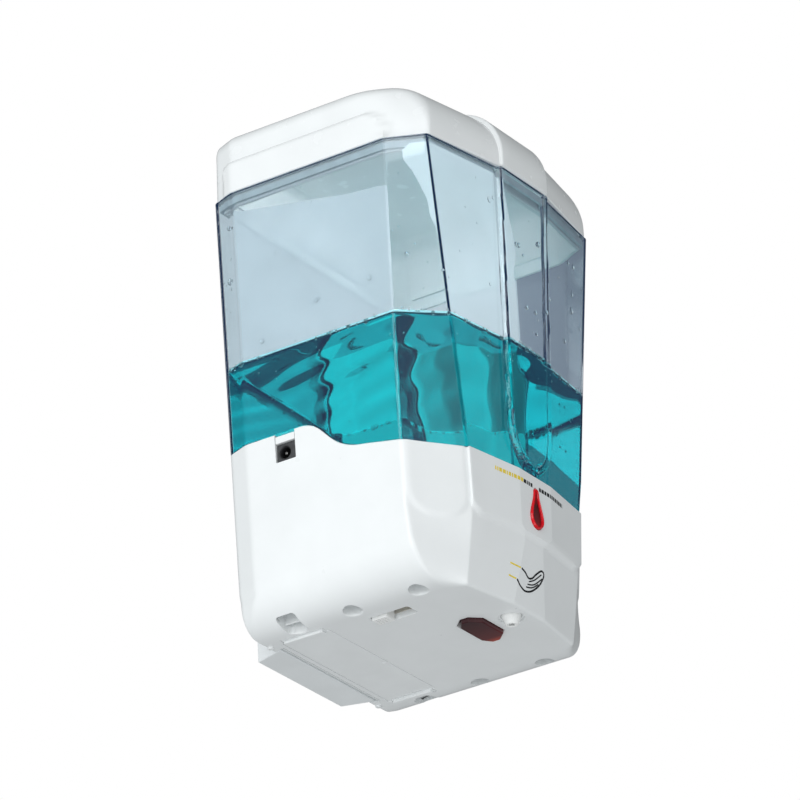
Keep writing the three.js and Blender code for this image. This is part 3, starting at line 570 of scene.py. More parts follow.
def raise_collar(grid):
    """Pushes the collar lobes out of the front and slanted facets."""
    x, y, z = grid[..., 0], grid[..., 1], grid[..., 2]
    front = rounded_box_distance(x, z - 135.5, 48.6, 100.0, 11.0)
    lobe = smooth((0.9 - front) / 1.8)
    plan = np.array([plan_at(HOUSING_PLAN, h) for h in z.ravel()]).reshape(*z.shape, 6)
    side_y, corner_x, corner_y = plan[..., 1], plan[..., 2], plan[..., 3]
    run = np.hypot(plan[..., 0] - corner_x, side_y - corner_y)
    along = np.hypot(np.abs(x) - corner_x, -y - corner_y)
    slanted = (np.abs(x) > corner_x) & (-y > side_y - 1)
    pocket = rounded_box_distance(along - 0.50 * run, z - 131.0, 0.47 * run, 100.0, 12.0)
    side_lobe = smooth((1.2 - pocket) / 3.4) * slanted
    amount = np.where(slanted, SIDE_LOBE * side_lobe, LOBE * lobe)
    amount = np.where(-y < side_y - 1, 0.0, amount)
    raised = grid.copy()
    raised[..., :2] += outwards(grid) * amount[..., None]
    return raised


def shell_from(outer, inner, name):
    """A wall between an outer and an inner skin of the same layout, closed at both ends."""
    rim = [outer[-1] * (1 - share) + inner[-1] * share + [0, 0, rise]
           for share, rise in ((0.15, 0.25), (0.5, 0.25), (0.85, 0.2))]
    return capped(name, [*outer, *rim, *inner[::-1]])


def inner_skin(outer, wall, floor):
    """An inner skin a wall's thickness inside the outer one, from floor height up."""
    skin = outer.copy()
    skin[..., :2] -= outwards(outer) * wall
    return skin[skin[..., 2].min(axis=1) >= floor]


def well_cutter(x, y):
    """The shape of a screw well, with the screw's hole above it."""
    r = 4.6
    profile = [(0, -1), (r + 0.7, -1), (r + 0.7, 0), (r + 0.35, 0.15), (r + 0.1, 0.45), (r, 0.9), (r, 53),
               (1.9, 53), (1.9, 57), (0, 57)]
    return lathe(profile, (x, y, 0), sides=40)


def octagon(grow):
    """Outline of the sensor window."""
    hx, hy, c = 13.4 + grow, 6.8 + grow, 4.8 + 0.6 * grow
    y = WINDOW_Y
    return [(-hx, y - hy + c), (-hx + c, y - hy), (hx - c, y - hy), (hx, y - hy + c),
            (hx, y + hy - c), (hx - c, y + hy), (-hx + c, y + hy), (-hx, y + hy - c)]


def part_circle(radius, height, start, end, count):
    """Points on a circle round (0, height)."""
    return [(radius * math.cos(a), height + radius * math.sin(a)) for a in np.linspace(start, end, count)]


def drop_outline(grow):
    """Outline of the indicator: round below, narrow and rounded above."""
    r, bottom, top = 5.2 + grow, 40.2 - grow, 60.6 + grow
    centre, tip = bottom + r, 1.9 + 0.6 * grow
    bowl = part_circle(r, centre, math.pi, 2 * math.pi, 20)
    right = [(r + (tip - r) * smooth(t), centre + (top - tip - centre) * t)
             for t in np.linspace(0.06, 1, 12)]
    head = part_circle(tip, top - tip, 0.3, math.pi - 0.3, 7)
    left = [(-x, z) for x, z in right[::-1]]
    return [(float(x), float(z)) for x, z in bowl + right + head + left]


def flared(outline, low, mouth, deep, flare):
    """A cutter whose mouth widens downwards, which leaves a chamfer round the hole."""
    centre = Vector((sum(p[0] for p in outline), sum(p[1] for p in outline))) / len(outline)
    loops = []
    for z, by in ((low, flare), (0.0, flare), (mouth, 0.0), (deep, 0.0)):
        grown = [Vector(p) + (Vector(p) - centre).normalized() * by for p in outline]
        loops.append([(p.x, p.y, z) for p in grown])
    return skinned("cutter", loops)


def box_outline(x0, x1, y0, y1, radius, count=5):
    """A box with round corners."""
    made = []
    for cx, cy, start in ((x1 - radius, y0 + radius, -90), (x1 - radius, y1 - radius, 0),
                          (x0 + radius, y1 - radius, 90), (x0 + radius, y0 + radius, 180)):
        for k in range(count):
            a = math.radians(start + 90 * k / (count - 1))
            made.append((cx + radius * math.cos(a), cy + radius * math.sin(a)))
    return made


def dovetail(grow, y0, y1):
    """Outline of the bracket's dovetail between two depths."""
    wide, wide_y, narrow, narrow_y = 39.4, -3.7, 34.2, 12.5
    slope = (wide - narrow) / (narrow_y - wide_y)
    half = [narrow + slope * (narrow_y - y) + grow for y in (y0, y1)]
    return [(-half[1], y1), (-half[0], y0), (half[0], y0), (half[1], y1)]


BATTERY_HOLE = (-44.2, 44.2, -34.5, -8.4)
SWITCH_HOLE = (-42.4, -33.6, -76.5, -55.5)
POCKET_WALL = [(48.2, 1.4), (56.0, 3.0), (62.0, 6.2), (66.0, 10.4), (66.0, 16.0), (48.2, 16.0)]


def housing_holes():
    """Everything that is cut out of the housing's walls."""
    tools = [prism(dovetail(0.45, -4.2, 5), -1, 84.4), block(-39.4, 39.4, -0.5, 5, -1, 84.4)]
    tools += [well_cutter(x, y) for x, y in WELLS]
    tools.append(flared(box_outline(*BATTERY_HOLE, 1.2), -1, 0.35, 2.3, 0.35))
    tools.append(block(-42, 42, -33.1, -8.8, -1, 5))
    for s in (-1, 1):
        tools.append(across(s, 42.6, 48.1, -33.0, -9.6, -1, 2.3, 0.4))
        tools.append(across(s, 50.6, 63.0, -27.8, -17.2, -3, 13.0, 1.6))
    tools.append(flared(octagon(0.3), -1, 0.5, 5, 0.5))
    tools.append(flared(box_outline(*SWITCH_HOLE, 1.2), -1, 0.5, 5, 0.5))
    nozzle_hole = [(0, -1), (6.9, -1), (6.9, 0.0), (6.3, 0.25), (6.0, 1.0), (5.1, 1.2), (5.1, 5), (0, 5)]
    tools.append(lathe(nozzle_hole, (0, NOZZLE_Y, 0), sides=56))
    tools.append(block(-90, -60, JACK_Y - 5.6, JACK_Y + 5.6, JACK_Z - 4.75, 96, 0.5))
    tools.append(prism(drop_outline(0.3), -140, -110, "y"))
    for y, half, depth in ((-6.0, 0.3, 0.6), (-4.7, 0.5, 1.6)):
        tools.append(block(-40.5, 40.5, y - half, y + half, -1, depth))
    return tools


def make_housing():
    """The housing: a shell with a back pad, screw posts, side pockets, all its holes and its small pegs."""
    outer = housing_skin()
    shell = shell_from(outer, inner_skin(outer, SHELL, SHELL + 0.4), "housing")
    posts = [lathe([(0, 3), (6.4, 3), (6.4, 56), (0, 56)], (x, y, 0), sides=32) for x, y in WELLS]
    pockets = [prism([(s * x, z) for x, z in POCKET_WALL], -30.6, -14.4, "y") for s in (-1, 1)]
    join(shell, block(-42.4, 42.4, -6.6, -1, 0.5, 88.9), *posts, *pockets)
    cut(shell, *housing_holes())
    bars = [across(s, 53.4, 54.4, -28.4, -16.6, 3.6, 14.0, 0.3) for s in (-1, 1)]
    peg = [(0, 2), (1.5, 2), (1.5, -0.5), (1.1, -0.9), (0, -1.0)]
    return join(shell, *bars, *[lathe(peg, (x, -1.9, 0), sides=24) for x in (-44.5, 44.5)])


housing = place(make_housing(), "housing_shell", "dispenser", WHITE, ["housing"], sharp=34)


# ------------------------------------------------------------------ tank and soap
TANK_CUTS = (34, 46, 22, 50, 10, 16)


def tongue_amount(x, z):
    """1 on the centre panel, which ends below in a U, and 0 on the facets beside it."""
    half = np.interp(z, [68.0, 90.0, RIM], [17.2, 17.4, 20.9])
    below = np.clip((90.0 - z) / 21.2, 0, 3)
    reach = np.where(z > 90.0, np.abs(x) - half, (np.hypot(np.abs(x) / half, below) - 1) * half)
    return smooth((0.35 - reach) / 1.3)


def tank_ring(z, inward):
    """The tank's outline at height z, without its centre panel, moved inwards."""
    corners = plan_corners(TANK_PLAN, z)
    return ring(inset(corners, inward) if inward else corners, TANK_CUTS)


def tank_grid(lift, inward):
    """The tank's skin between the seam and the rim; lift raises its foot, inward moves it in."""
    fractions = np.concatenate([np.linspace(0, 0.2, 26), np.linspace(0.2, 1, 64)[1:]])
    foot = seam_height(tank_ring(72.0, 0.0)[:, 1]) + lift
    heights = np.arange(60.0, 225.1, 3.0)
    rings = np.stack([tank_ring(z, inward) for z in heights])
    loops = []
    for f in fractions:
        z = foot + (RIM - foot) * f
        loops.append(level(between(rings, heights, z), z))
    grid = np.stack(loops)
    scale = 1.0 if inward < 0.5 else 1.13
    front = grid[..., 1] < -90
    tongue = tongue_amount(grid[..., 0] * scale, grid[..., 2] - 0.9 * inward)
    grid[..., 1] -= np.where(front, TONGUE * tongue, 0)
    return grid


OUTLET = (31.2, -98, 0)                 # where the hose leaves the tank


def make_tank():
    """The tank, with six posts for its screws and the outlet in its floor."""
    tank = shell_from(tank_grid(0.3, 0.0), tank_grid(TANK_FLOOR, TANK_WALL), "tank")
    posts = []
    for x, y in WELLS:
        top = float(seam_height(y)) + 1.5
        posts.append(lathe([(0, 56.3), (3.4, 56.3), (4, 57), (4, top), (0, top)], (x, y, 0), sides=24))
    spout = lathe([(0, 57), (4.4, 57), (5, 57.8), (5, 69), (0, 69)], OUTLET, sides=32)
    join(tank, *posts, spout)
    return cut(tank, lathe([(0, 50), (3.3, 50), (3.3, 73), (0, 73)], OUTLET, sides=32))


place(make_tank(), "tank_shell", "dispenser", CLEAR_TANK_WITH_PAINTED_GLOW, ["tank"], sharp=50)


def soap_top(x, y, z):
    """Height of the liquid, with a slow swell."""
    return z + 0.35 * math.sin(0.09 * x + 0.6) * math.cos(0.07 * y) + 0.2 * math.sin(0.23 * x - 0.11 * y)


def make_soap():
    """The liquid, which reaches a little into the tank's wall and curls up at its edge."""
    overlap = 0.12
    grid = tank_grid(TANK_FLOOR - overlap, TANK_WALL - overlap)
    low, columns = grid[0], grid.shape[1]
    loops = []
    for f in np.linspace(0, 1, 40):
        z = low[:, 2] + (SOAP_LEVEL + 0.9 - low[:, 2]) * f
        flat = [[np.interp(z[c], grid[:, c, 2], grid[:, c, k]) for k in (0, 1)] for c in range(columns)]
        loops.append(level(np.array(flat), z))
    away = loops[-1][:, :2] - TANK_CENTRE
    length = np.linalg.norm(away, axis=1, keepdims=True)
    for shrink, dip in ((0.6, 0.25), (1.6, -0.1), (3.2, -0.2)):
        loops.append(level(TANK_CENTRE + away * (1 - shrink / length), SOAP_LEVEL + dip))
    return capped("soap", loops, rungs=36, rise=soap_top)


place(make_soap(), "soap_body", "dispenser", SOAP, ["soap"], sharp=50)


def scattered(name, blobs, sides=14, rows=8):
    """Small ellipsoids as one mesh; blobs are (centre, radii)."""
    points, faces = [], []
    for centre, radii in blobs:
        start = len(points)
        for i in range(rows + 1):
            polar = math.pi * i / rows
            for k in range(sides):
                a = 2 * math.pi * k / sides
                unit = (math.sin(polar) * math.cos(a), math.sin(polar) * math.sin(a), math.cos(polar))
                points.append(tuple(c + r * u for c, r, u in zip(centre, radii, unit)))
        faces += skin_faces(rows + 1, sides, start)
    return solid(name, points, faces, weld=1e-5)


INNER = tank_grid(TANK_FLOOR, TANK_WALL)


def on_inner_wall(column, z):
    """Place on the inside of the tank's wall, on one column of its skin at height z."""
    c = column % INNER.shape[1]
    return [float(np.interp(z, INNER[:, c, 2], INNER[:, c, k])) for k in (0, 1)]


def wall_blobs(count, low, high, small, big, depth):
    """Blobs that sit on the inside of the tank wall."""
    made = []
    for _ in range(count):
        column, z = random.randrange(INNER.shape[1]), random.uniform(low, high)
        x, y = on_inner_wall(column, z)
        r = small + (big - small) * random.random() ** 3
        inward = (Vector(TANK_CENTRE) - Vector((x, y))).normalized() * r * depth
        made.append(((x + inward.x, y + inward.y, z), (r, r, r * random.uniform(1.0, 1.25))))
    return made


def mist_sheet(name, bands, material):
    """A thin film of mist on the inside of the wall. bands are (height, first column, last column), from
    the bottom up; columns count round the wall from the middle of the front, to the left when negative."""
    heights = np.array([b[0] for b in bands], float)
    levels = np.linspace(heights[0], heights[-1], 70)
    steps = 72
    near, far = [], []
    for z in levels:
        first, last = (float(np.interp(z, heights, [b[k] for b in bands])) for k in (1, 2))
        wander = 0.5 * math.sin(0.21 * z) + 0.3 * math.sin(0.47 * z + 1.0)
        for k in range(steps + 1):
            column = first + wander + (last - first) * k / steps
            a = math.floor(column)
            share = column - a
            p, q = (np.array(on_inner_wall(c, z)) for c in (a, a + 1))
            spot = p * (1 - share) + q * share
            inward = TANK_CENTRE - spot
            inward /= np.linalg.norm(inward)
            near.append((*(spot + inward * 0.12), z))
            far.append((*(spot + inward * 0.32), z))
    columns, rows = steps + 1, len(levels)
    points, n = near + far, len(near)
    faces = []
    for r in range(rows - 1):
        for c in range(steps):
            a = r * columns + c
            quad = (a, a + 1, a + columns + 1, a + columns)
            faces += [quad, tuple(n + i for i in quad[::-1])]
    edge = [r * columns for r in range(rows)] + [(rows - 1) * columns + c for c in range(1, columns)]
    edge += [r * columns + steps for r in range(rows - 2, -1, -1)] + list(range(steps - 1, 0, -1))
    for a, b in zip(edge, edge[1:] + edge[:1]):
        faces.append((a, b, n + b, n + a))
    return place(solid(name, points, faces), name, "dispenser", material)


# Both films carry painted light from their finishes: a glow that brightens the wall.
mist_sheet("mist_side", [
    (SOAP_LEVEL + 1, -115, -172), (192, -115, -172), (197, -117, -172), (199, -131, -172),
    (202, -140, -172), (205, -150, -172), (209, -164, -172), (211, -170, -172)], MIST_WITH_PAINTED_GLOW)
mist_sheet("mist_front", [
    (SOAP_LEVEL + 1, -16, -86), (147, -16, -87), (167, -18, -88), (180, -14, -92), (196, -21, -95),
    (204, -24, -99), (210, -27, -103), (214, -28, -103.5), (217, -29, -99)], FAINT_MIST_WITH_PAINTED_GLOW)

drops = scattered("drops", wall_blobs(95, 138, 214, 0.35, 1.5, 0.1))
place(drops, "water_drops", "dispenser", WATER)
bubbles = scattered("bubbles", wall_blobs(260, SOAP_LEVEL - 0.6, SOAP_LEVEL + 2.2, 0.35, 1.25, 0.9)
                    + wall_blobs(26, SOAP_LEVEL - 14, SOAP_LEVEL - 3, 0.3, 0.8, 1.2))
place(bubbles, "soap_foam", "dispenser", FOAM)


# ------------------------------------------------------------------ lid
LID_HEIGHT = 34.5
LID_SIDE, LID_REACH = 78.7, 127.6         # half width and depth of the lid at its foot
LID_PLAN = [(z, LID_SIDE, 100.2, 69.5, 119.0, 21.2, LID_REACH) for z in (RIM, RIM + 40)]
LID_CUTS = (12, 24, 16, 60, 8, 14)


def bulge(radius, h):
    """How far a round edge of that radius has drawn in at height h above its start."""
    return radius - math.sqrt(max(0.0, radius ** 2 - max(0.0, h) ** 2))


def lid_draw(h):
    """How far the side, front and back of the lid have drawn in at a height above the rim."""
    side = 1.9 + 0.03 * h if h < 25.5 else 2.665 + bulge(9.2, h - 25.3)
    return side, bulge(29, h - 5.5), bulge(4.2, h - 30.3)


def lid_grid(wall):
    """The skin of the lid's wall, moved inwards by wall."""
    loops = []
    heights = [0.0, 0.5] + [1.2 + 1.1 * k for k in range(15)]
    heights += [17.0 + 17.5 * math.sin(math.pi / 2 * k / 36) for k in range(1, 37)]
    for h in heights:
        side, front, back = lid_draw(min(h, LID_HEIGHT))
        edge = 0.4 if h == 0 else 0.0
        corners = plan_corners(LID_PLAN, RIM, soft=float(1 + 3.5 * smooth(np.array((h - 4) / 26.0))))
        corners[3] = (*corners[3][:2], 3.2 + 36.0 * float(smooth(np.array(h / 5.0))))
        if wall + edge > 0:
            corners = inset(corners, wall + edge)
        sx = (LID_SIDE - side) / LID_SIDE
        sy = (LID_REACH - front - back) / LID_REACH
        flat = ring([(x * sx, y * sy - back, r) for x, y, r in corners], LID_CUTS)
        loops.append(level(flat, RIM + 0.3 + h * (1 - (0.3 + wall) / LID_HEIGHT)))
    return np.stack(loops)


def raise_side_panels(grid):
    """The flat panel that stands out of each side of the lid, with a round upper front corner."""
    y, z = grid[..., 1], grid[..., 2]
    middle = -53.9
    ahead, behind = (rounded_box_distance(y - middle, z - 197.0, 46.9, 40.0, r) for r in (13.0, 4.0))
    distance = np.where(y > middle, behind, ahead)
    side = np.abs(grid[..., 0]) > 70
    raised = grid.copy()
    raised[..., 0] += np.sign(grid[..., 0]) * 1.95 * smooth((0.5 - distance) / 1.2) * side
    return raised


def crown(loop, rise=0.9, steps=24):
    """Loops that close the top of the lid, with a slight dome."""
    made = []
    for k in range(1, steps):
        s = 1 - k / steps
        made.append(level(LID_CENTRE + (loop[:, :2] - LID_CENTRE) * s, loop[:, 2] + rise * (1 - s * s)))
    return made


def make_lid():
    """The lid, hollow below, with its hump, the lip inside the tank and the shelves above its rim."""
    outer, inner = raise_side_panels(lid_grid(0.0)), lid_grid(SHELL)
    loops = crown(inner[-1])[::-1] + list(inner[::-1]) + list(outer) + crown(outer[-1])
    points = [tuple(p) for loop in loops for p in loop]
    columns, last = len(loops[0]), len(points) - len(loops[0])
    faces = skin_faces(len(loops), columns)
    points += [(*LID_CENTRE, loop[0][2] + 0.1) for loop in (loops[-1], loops[0])]
    for c in range(columns):
        faces.append((last + c, last + (c + 1) % columns, len(points) - 2))
        faces.append(((c + 1) % columns, c, len(points) - 1))
    shell = solid("lid", points, faces)
    rim = plan_corners(TANK_PLAN, RIM)
    lip_out, lip_in = (ring(inset(rim, TANK_WALL + gap), LID_CUTS) for gap in (2.2, 3.8))
    lip_edge = 0.5 * (lip_in + lip_out)
    lip_steps = ((lip_in, 3), (lip_in, -5.6), (lip_edge, -6), (lip_out, -5.6), (lip_out, 3))
    lip = skinned("lip", [level(flat, RIM + z) for flat, z in lip_steps], joined=True)
    shelf = gather(*[block(*b, RIM + 0.6, RIM + 3) for b in (
        (-78, -71, -90, -16), (71, 78, -90, -16), (-50, 50, -118, -112), (-66, 66, -7.6, -1))])
    return join(shell, make_hump(), lip, shelf)


def make_hump():
    """The low hump that runs from the front of the lid over its crown."""
    face, radius, top = -128.9, 28.0, RIM + LID_HEIGHT + 1.1
    line = [(face + 1.2, RIM + 0.35, -1.0, 0.0), (face, RIM + 1.4, -1.0, 0.0)]
    line += [(face, z, -1.0, 0.0) for z in np.linspace(RIM + 2, top - radius, 5)]
    for a in np.linspace(0.04, math.pi / 2, 34):
        line.append((face + radius - radius * math.cos(a), top - radius + radius * math.sin(a),
                     -math.cos(a), math.sin(a)))
    line += [(y, top, 0.0, 1.0) for y in np.linspace(face + radius + 3, -12, 26)]
    line += [(-8.6, top - 0.15, 0.3, 0.95), (-6.4, top - 0.7, 0.5, 0.86), (-5.0, top - 1.6, 0.7, 0.7)]
    half, edge = 20.4, 1.6
    section = [(half + 1.0, -3.2), (half + 0.5, -1.8), (half + 0.1, -1.0)]
    section += [(half - edge + edge * math.cos(a), -edge + edge * math.sin(a))
                for a in np.linspace(0.15, math.pi / 2, 6)]
    section += [(x, 0.0) for x in (12, 6, 0)]
    section += [(-x, h) for x, h in section[-2::-1]]
    return skinned("hump", [[(x, y + ny * h, z + nz * h) for x, h in section] for y, z, ny, nz in line])


place(make_lid(), "lid_shell", "lid", LID_WHITE, ["lid"], sharp=34)


# ------------------------------------------------------------------ underside pieces
def make_door():
    """The battery door: a panel with hooks above it and a pad with a grip at each end."""
    panel = prism(box_outline(-43.9, 43.9, -34.2, -8.7, 0.9), 0, 2, "z", 0.25)
    for s in (-1, 1):
        hook = across(s, 40.2, 41.4, -25, -17.9, 1.5, 5, 0.25)
        pad = across(s, 42.9, 47.8, -32.6, -10.0, -0.1, 1.9, 0.25)
        grip = across(s, 43.6, 46.6, -32.0, -10.6, -1.3, 0.6, 0.45)
        join(panel, hook, pad, grip)
        inner_groove = across(s, 43.0, 42.2, -32.2, -10.7, -1, 0.7, 0.2)
        outer_groove = across(s, 47.0, 47.4, -31.8, -10.8, -1, 0.5)
        cut(panel, inner_groove, outer_groove)
    dimple = [(0, -1), (1.3, -1), (1.2, 0.0), (0.8, 0.35), (0, 0.45)]
    return cut(panel, lathe(dimple, (3.5, -32.4, 0), sides=24))


place(make_door(), "battery_door_panel", "battery_door", DOOR_WHITE, ["battery_door"])

window_edge = [(x, min(y, WINDOW_REAR)) for x, y in octagon(0)]
window = join(prism(window_edge, -1.9, 3, "z", 0.45, 4), prism(octagon(1.2), 2.8, 4.2))
place(window, "sensor_glass", "dispenser", WINDOW_RED_WITH_PAINTED_LIGHT, ["sensor_window"])

spout = lathe([
    (1.5, -3.2), (2.1, -3.5), (2.9, -3.4), (3.3, -2.9), (3.6, -1.6), (4.2, -0.3), (4.6, 0.9), (4.8, 1.2),
    (4.8, 2.9), (6.8, 2.9), (6.8, 4.4), (4.8, 4.4), (4.8, 14), (3.3, 14), (3.3, 7), (1.8, 7), (1.8, -1.5),
    (1.5, -2.2)], (0, NOZZLE_Y, 0), sides=56)
place(spout, "nozzle_spout", "dispenser", KNOB_WHITE, ["nozzle"])


def make_slider():
    """The knob of the slide switch: a ribbed pad on a foot that reaches up into the switch."""
    pad = block(-41.4, -34.6, -64.7, -56.3, -1.1, 5, 0.35)
    ribs = [block(-41.0, -35.0, y, y + 0.5, -2, -0.75) for y in (-63.2, -61.6, -60.0, -58.4)]
    return join(cut(pad, *ribs), block(-41.4, -34.6, -66.3, -56.3, 4.2, 7.6, 0.3))


place(make_slider(), "slider_knob", "switch_slider", KNOB_WHITE, ["switch_slider"])


def drop_loops(steps):
    """Loops that follow the drop's outline; steps are (growth, depth)."""
    return [[(x, y, z) for x, z in drop_outline(grow)] for grow, y in steps]


def make_dish():
    """The shallow dish inside the rim, with the flange that holds the lens behind the shell."""
    loops = drop_loops([(1.2, -116.2), (1.2, -117.4), (-1.6, -117.4), (-1.6, -123.0), (-2.0, -122.8)])
    edge, middle = loops[-1], 47.0
    for share in (0.6, 0.3):
        loops.append([(x * share, -122.75, middle + (z - middle) * share) for x, _, z in edge])
    return skinned("dish", loops)


RIM_STEPS = [(0.0, -117.6), (0.0, -123.4), (-0.3, -123.95), (-0.75, -124.05), (-1.25, -123.7),
             (-1.5, -122.9), (-1.5, -117.6)]
place(make_dish(), "drop_lens", "dispenser", LENS_RED_WITH_PAINTED_LIGHT, ["indicator_lens"])
place(skinned("rim", drop_loops(RIM_STEPS), joined=True), "drop_rim", "dispenser", RIM_RED)


def front_at(x, z):
    """Depth of the housing's front surface at x and z."""
    start = Vector(((x + ORIGIN.x) * MM, -0.3, (z + ORIGIN.z) * MM))
    hit, where, _, _ = housing.ray_cast(start, Vector((0, 1, 0)))
    return where.y / MM - ORIGIN.y if hit else -122.0


def stroke(points, width):
    """A printed line that follows the front of the housing."""
    fine = []
    for (x0, z0), (x1, z1) in zip(points, points[1:]):
        n = max(1, int(math.hypot(x1 - x0, z1 - z0) / 0.7))
        fine += [(x0 + (x1 - x0) * k / n, z0 + (z1 - z0) * k / n) for k in range(n)]
    fine.append(points[-1])
    corners, faces = [], []
    for i, (x, z) in enumerate(fine):
        a, b = fine[max(i - 1, 0)], fine[min(i + 1, len(fine) - 1)]
        run = Vector((b[0] - a[0], b[1] - a[1])).normalized() * width / 2
        for side in (1, -1):
            px, pz = x - side * run.y, z + side * run.x
            depth = front_at(px, pz)
            corners += [(px, depth - 0.07, pz), (px, depth + 0.12, pz)]
    for i in range(len(fine) - 1):
        s, t = 4 * i, 4 * i + 4
        faces += [(s, s + 2, t + 2, t), (s + 1, t + 1, t + 3, s + 3), (s, t, t + 1, s + 1),
                  (s + 2, s + 3, t + 3, t + 2)]
    s = 4 * (len(fine) - 1)
    faces += [(0, 1, 3, 2), (s, s + 2, s + 3, s + 1)]
    return solid("stroke", corners, faces)


def curve(points, count=8):
    """A smooth line through a few points."""
    made = []
    for i in range(len(points) - 1):
        p = [Vector(points[max(0, min(len(points) - 1, i + k))]) for k in (-1, 0, 1, 2)]
        for s in range(count):
            t = s / count
            q = 0.5 * (2 * p[1] + (p[2] - p[0]) * t + (2 * p[0] - 5 * p[1] + 4 * p[2] - p[3]) * t ** 2
                       + (3 * p[1] - p[0] - 3 * p[2] + p[3]) * t ** 3)
            made.append((q.x, q.y))
    return made + [points[-1]]


PALM = [(-12, 12.4), (-9.5, 10.2), (-5, 8.8), (0.5, 10.6), (6, 15), (9, 19.5), (9.4, 22)]
BACK_OF_HAND = [(-9, 18.6), (-6, 17.6), (-3, 15.8), (0, 16.6), (3, 19.4), (7, 22.4), (9.4, 22)]
FINGERS = [[(-2.4, 14.2), (2, 16.4), (7.4, 20.8)], [(-3.4, 12.6), (2, 14.2), (8.2, 19)],
           [(-4.4, 11), (0.5, 12.2), (5.4, 15.4)]]
hand = gather(*[stroke(curve(line), 0.9) for line in (PALM, BACK_OF_HAND)],
              *[stroke(curve(line), 0.62) for line in FINGERS])
place(hand, "hand_symbol", "dispenser", INK)
cuff = gather(stroke([(-17.2, 18.9), (-9.8, 18.6)], 0.75), stroke([(-17.8, 12.7), (-12.6, 12.4)], 0.75))
place(cuff, "hand_symbol_cuff", "dispenser", GOLD_INK)
PRINT_Z, PRINT_WIDTH, PRINT_GAP = 61.3, 1.9, 0.65


def print_row(x0, x1):
    """A row of small generic dashes in place of words."""
    made, x = [], x0
    while x < x1:
        length = random.choice((0.8, 1.1, 1.5, 1.9))
        made.append(stroke([(x, PRINT_Z), (min(x + length, x1), PRINT_Z)], PRINT_WIDTH))
        x += length + PRINT_GAP
    return gather(*made)


place(print_row(-30.5, -10.5), "print_row_gold", "dispenser", GOLD_INK)
place(print_row(-10.0, -2.6), "print_row_left", "dispenser", INK)
place(print_row(3.0, 25.5), "print_row_right", "dispenser", INK)


# ------------------------------------------------------------------ jack
JACK_FACE_X = -72.9


def jack_lathe(profile, sides):
    """A profile of (radius, depth behind the jack's face) turned round the jack's hole."""
    return lathe([(r, JACK_FACE_X + depth) for r, depth in profile], (0, JACK_HOLE_Y, JACK_Z), "x", sides)


jack_edge = box_outline(JACK_Y - 5.3, JACK_Y + 5.3, JACK_Z - 4.45, JACK_Z + 4.45, 0.7)
jack = prism(jack_edge, JACK_FACE_X, JACK_FACE_X + 14, "x", 0.3)
cut(jack, jack_lathe([(0, -1), (3.7, -1), (3.6, 0), (3.2, 0.4), (3.2, 10), (0, 10)], 40))
place(jack, "jack_socket", "dispenser", JACK_FACE, ["jack_body"])
sleeve = jack_lathe([(3.15, 0.9), (3.15, 9.8), (2.8, 9.8), (2.8, 0.9)], 40)
place(sleeve, "jack_sleeve", "dispenser", BLACK)
pin = jack_lathe([(0, 1.2), (0.6, 1.3), (0.95, 1.7), (1.05, 2.2), (1.05, 9.9), (0, 9.9)], 24)
place(pin, "jack_centre_pin", "dispenser", PLATED, ["jack_pin"])


# ------------------------------------------------------------------ bracket
def make_bracket():
    """The wall bracket: a dovetail plate with a hollow front, two screw holes, a bar and two ribs."""
    plate = prism(dovetail(0, -3.7, 12.5), 0, 84, "z", 0.6)
    cut(plate, prism(dovetail(-2.6, -8.7, 9.5), 2.6, 81.4, "z", 0.5))
    join(plate, block(-34, 34, 0.3, 10.5, 40.8, 43.2, 0.3))
    hole = [(0, 0), (4.4, 0), (4.4, 11.1), (2.4, 12.0), (2.4, 14), (0, 14)]
    cut(plate, *[lathe(hole, (0, 0, z), "y", 32) for z in (16, 68)])
    return join(plate, *[block(x - 0.8, x + 0.8, 0.3, 10, 2, 82, 0.3) for x in (-20, 20)])


place(make_bracket(), "bracket_plate", "bracket", BRACKET_WHITE, ["wall_bracket"])


# ------------------------------------------------------------------ cells and screws
CELL_FOOT, CELL_LENGTH, CELL_STEP, CELL_Y = 6.4, 50.2, 19.4, -21.2
STEEL_GREY = (0.62, 0.6, 0.55)
CELL_PROFILE = [
    (0, 0), (5.6, 0), (6.4, 0.15), (7.0, 0.5), (7.2, 1.1), (7.2, 47.2), (7.0, 47.9), (6.3, 48.4),
    (6.1, 48.8), (4.4, 48.8), (4.2, 48.5), (3.0, 48.5), (2.75, 48.9), (2.7, 49.9), (2.4, CELL_LENGTH),
    (0, CELL_LENGTH)]
CELL_WRAP = [
    (0.0, STEEL_GREY), (0.9, STEEL_GREY), (1.0, (0.02, 0.045, 0.13)), (33.0, (0.03, 0.07, 0.2)),
    (34.0, (0.6, 0.34, 0.1)), (47.2, (0.55, 0.3, 0.09)), (48.0, STEEL_GREY),
    (CELL_LENGTH, (0.66, 0.66, 0.64))]

# AA cells with a nub, a crimped shoulder and a flat end; every second one stands on its nub.
for i in range(4):
    profile, wrap = CELL_PROFILE, CELL_WRAP
    if i % 2:
        profile = [(r, CELL_LENGTH - h) for r, h in profile][::-1]
        wrap = [(CELL_LENGTH - h, c) for h, c in wrap][::-1]
    made = lathe([(r, CELL_FOOT + h) for r, h in profile], ((i - 1.5) * CELL_STEP, CELL_Y, 0), sides=40)
    finish = striped(shade(f"cell_wrap_{i + 1}", (0.1, 0.2, 0.4), 0.3, metallic=0.55, bump=0.1), "Z",
                     [((CELL_FOOT + ORIGIN.z + h) * MM, c) for h, c in wrap])
    place(made, f"cell_{i + 1}", "dispenser", finish, [f"battery_{i + 1}"])


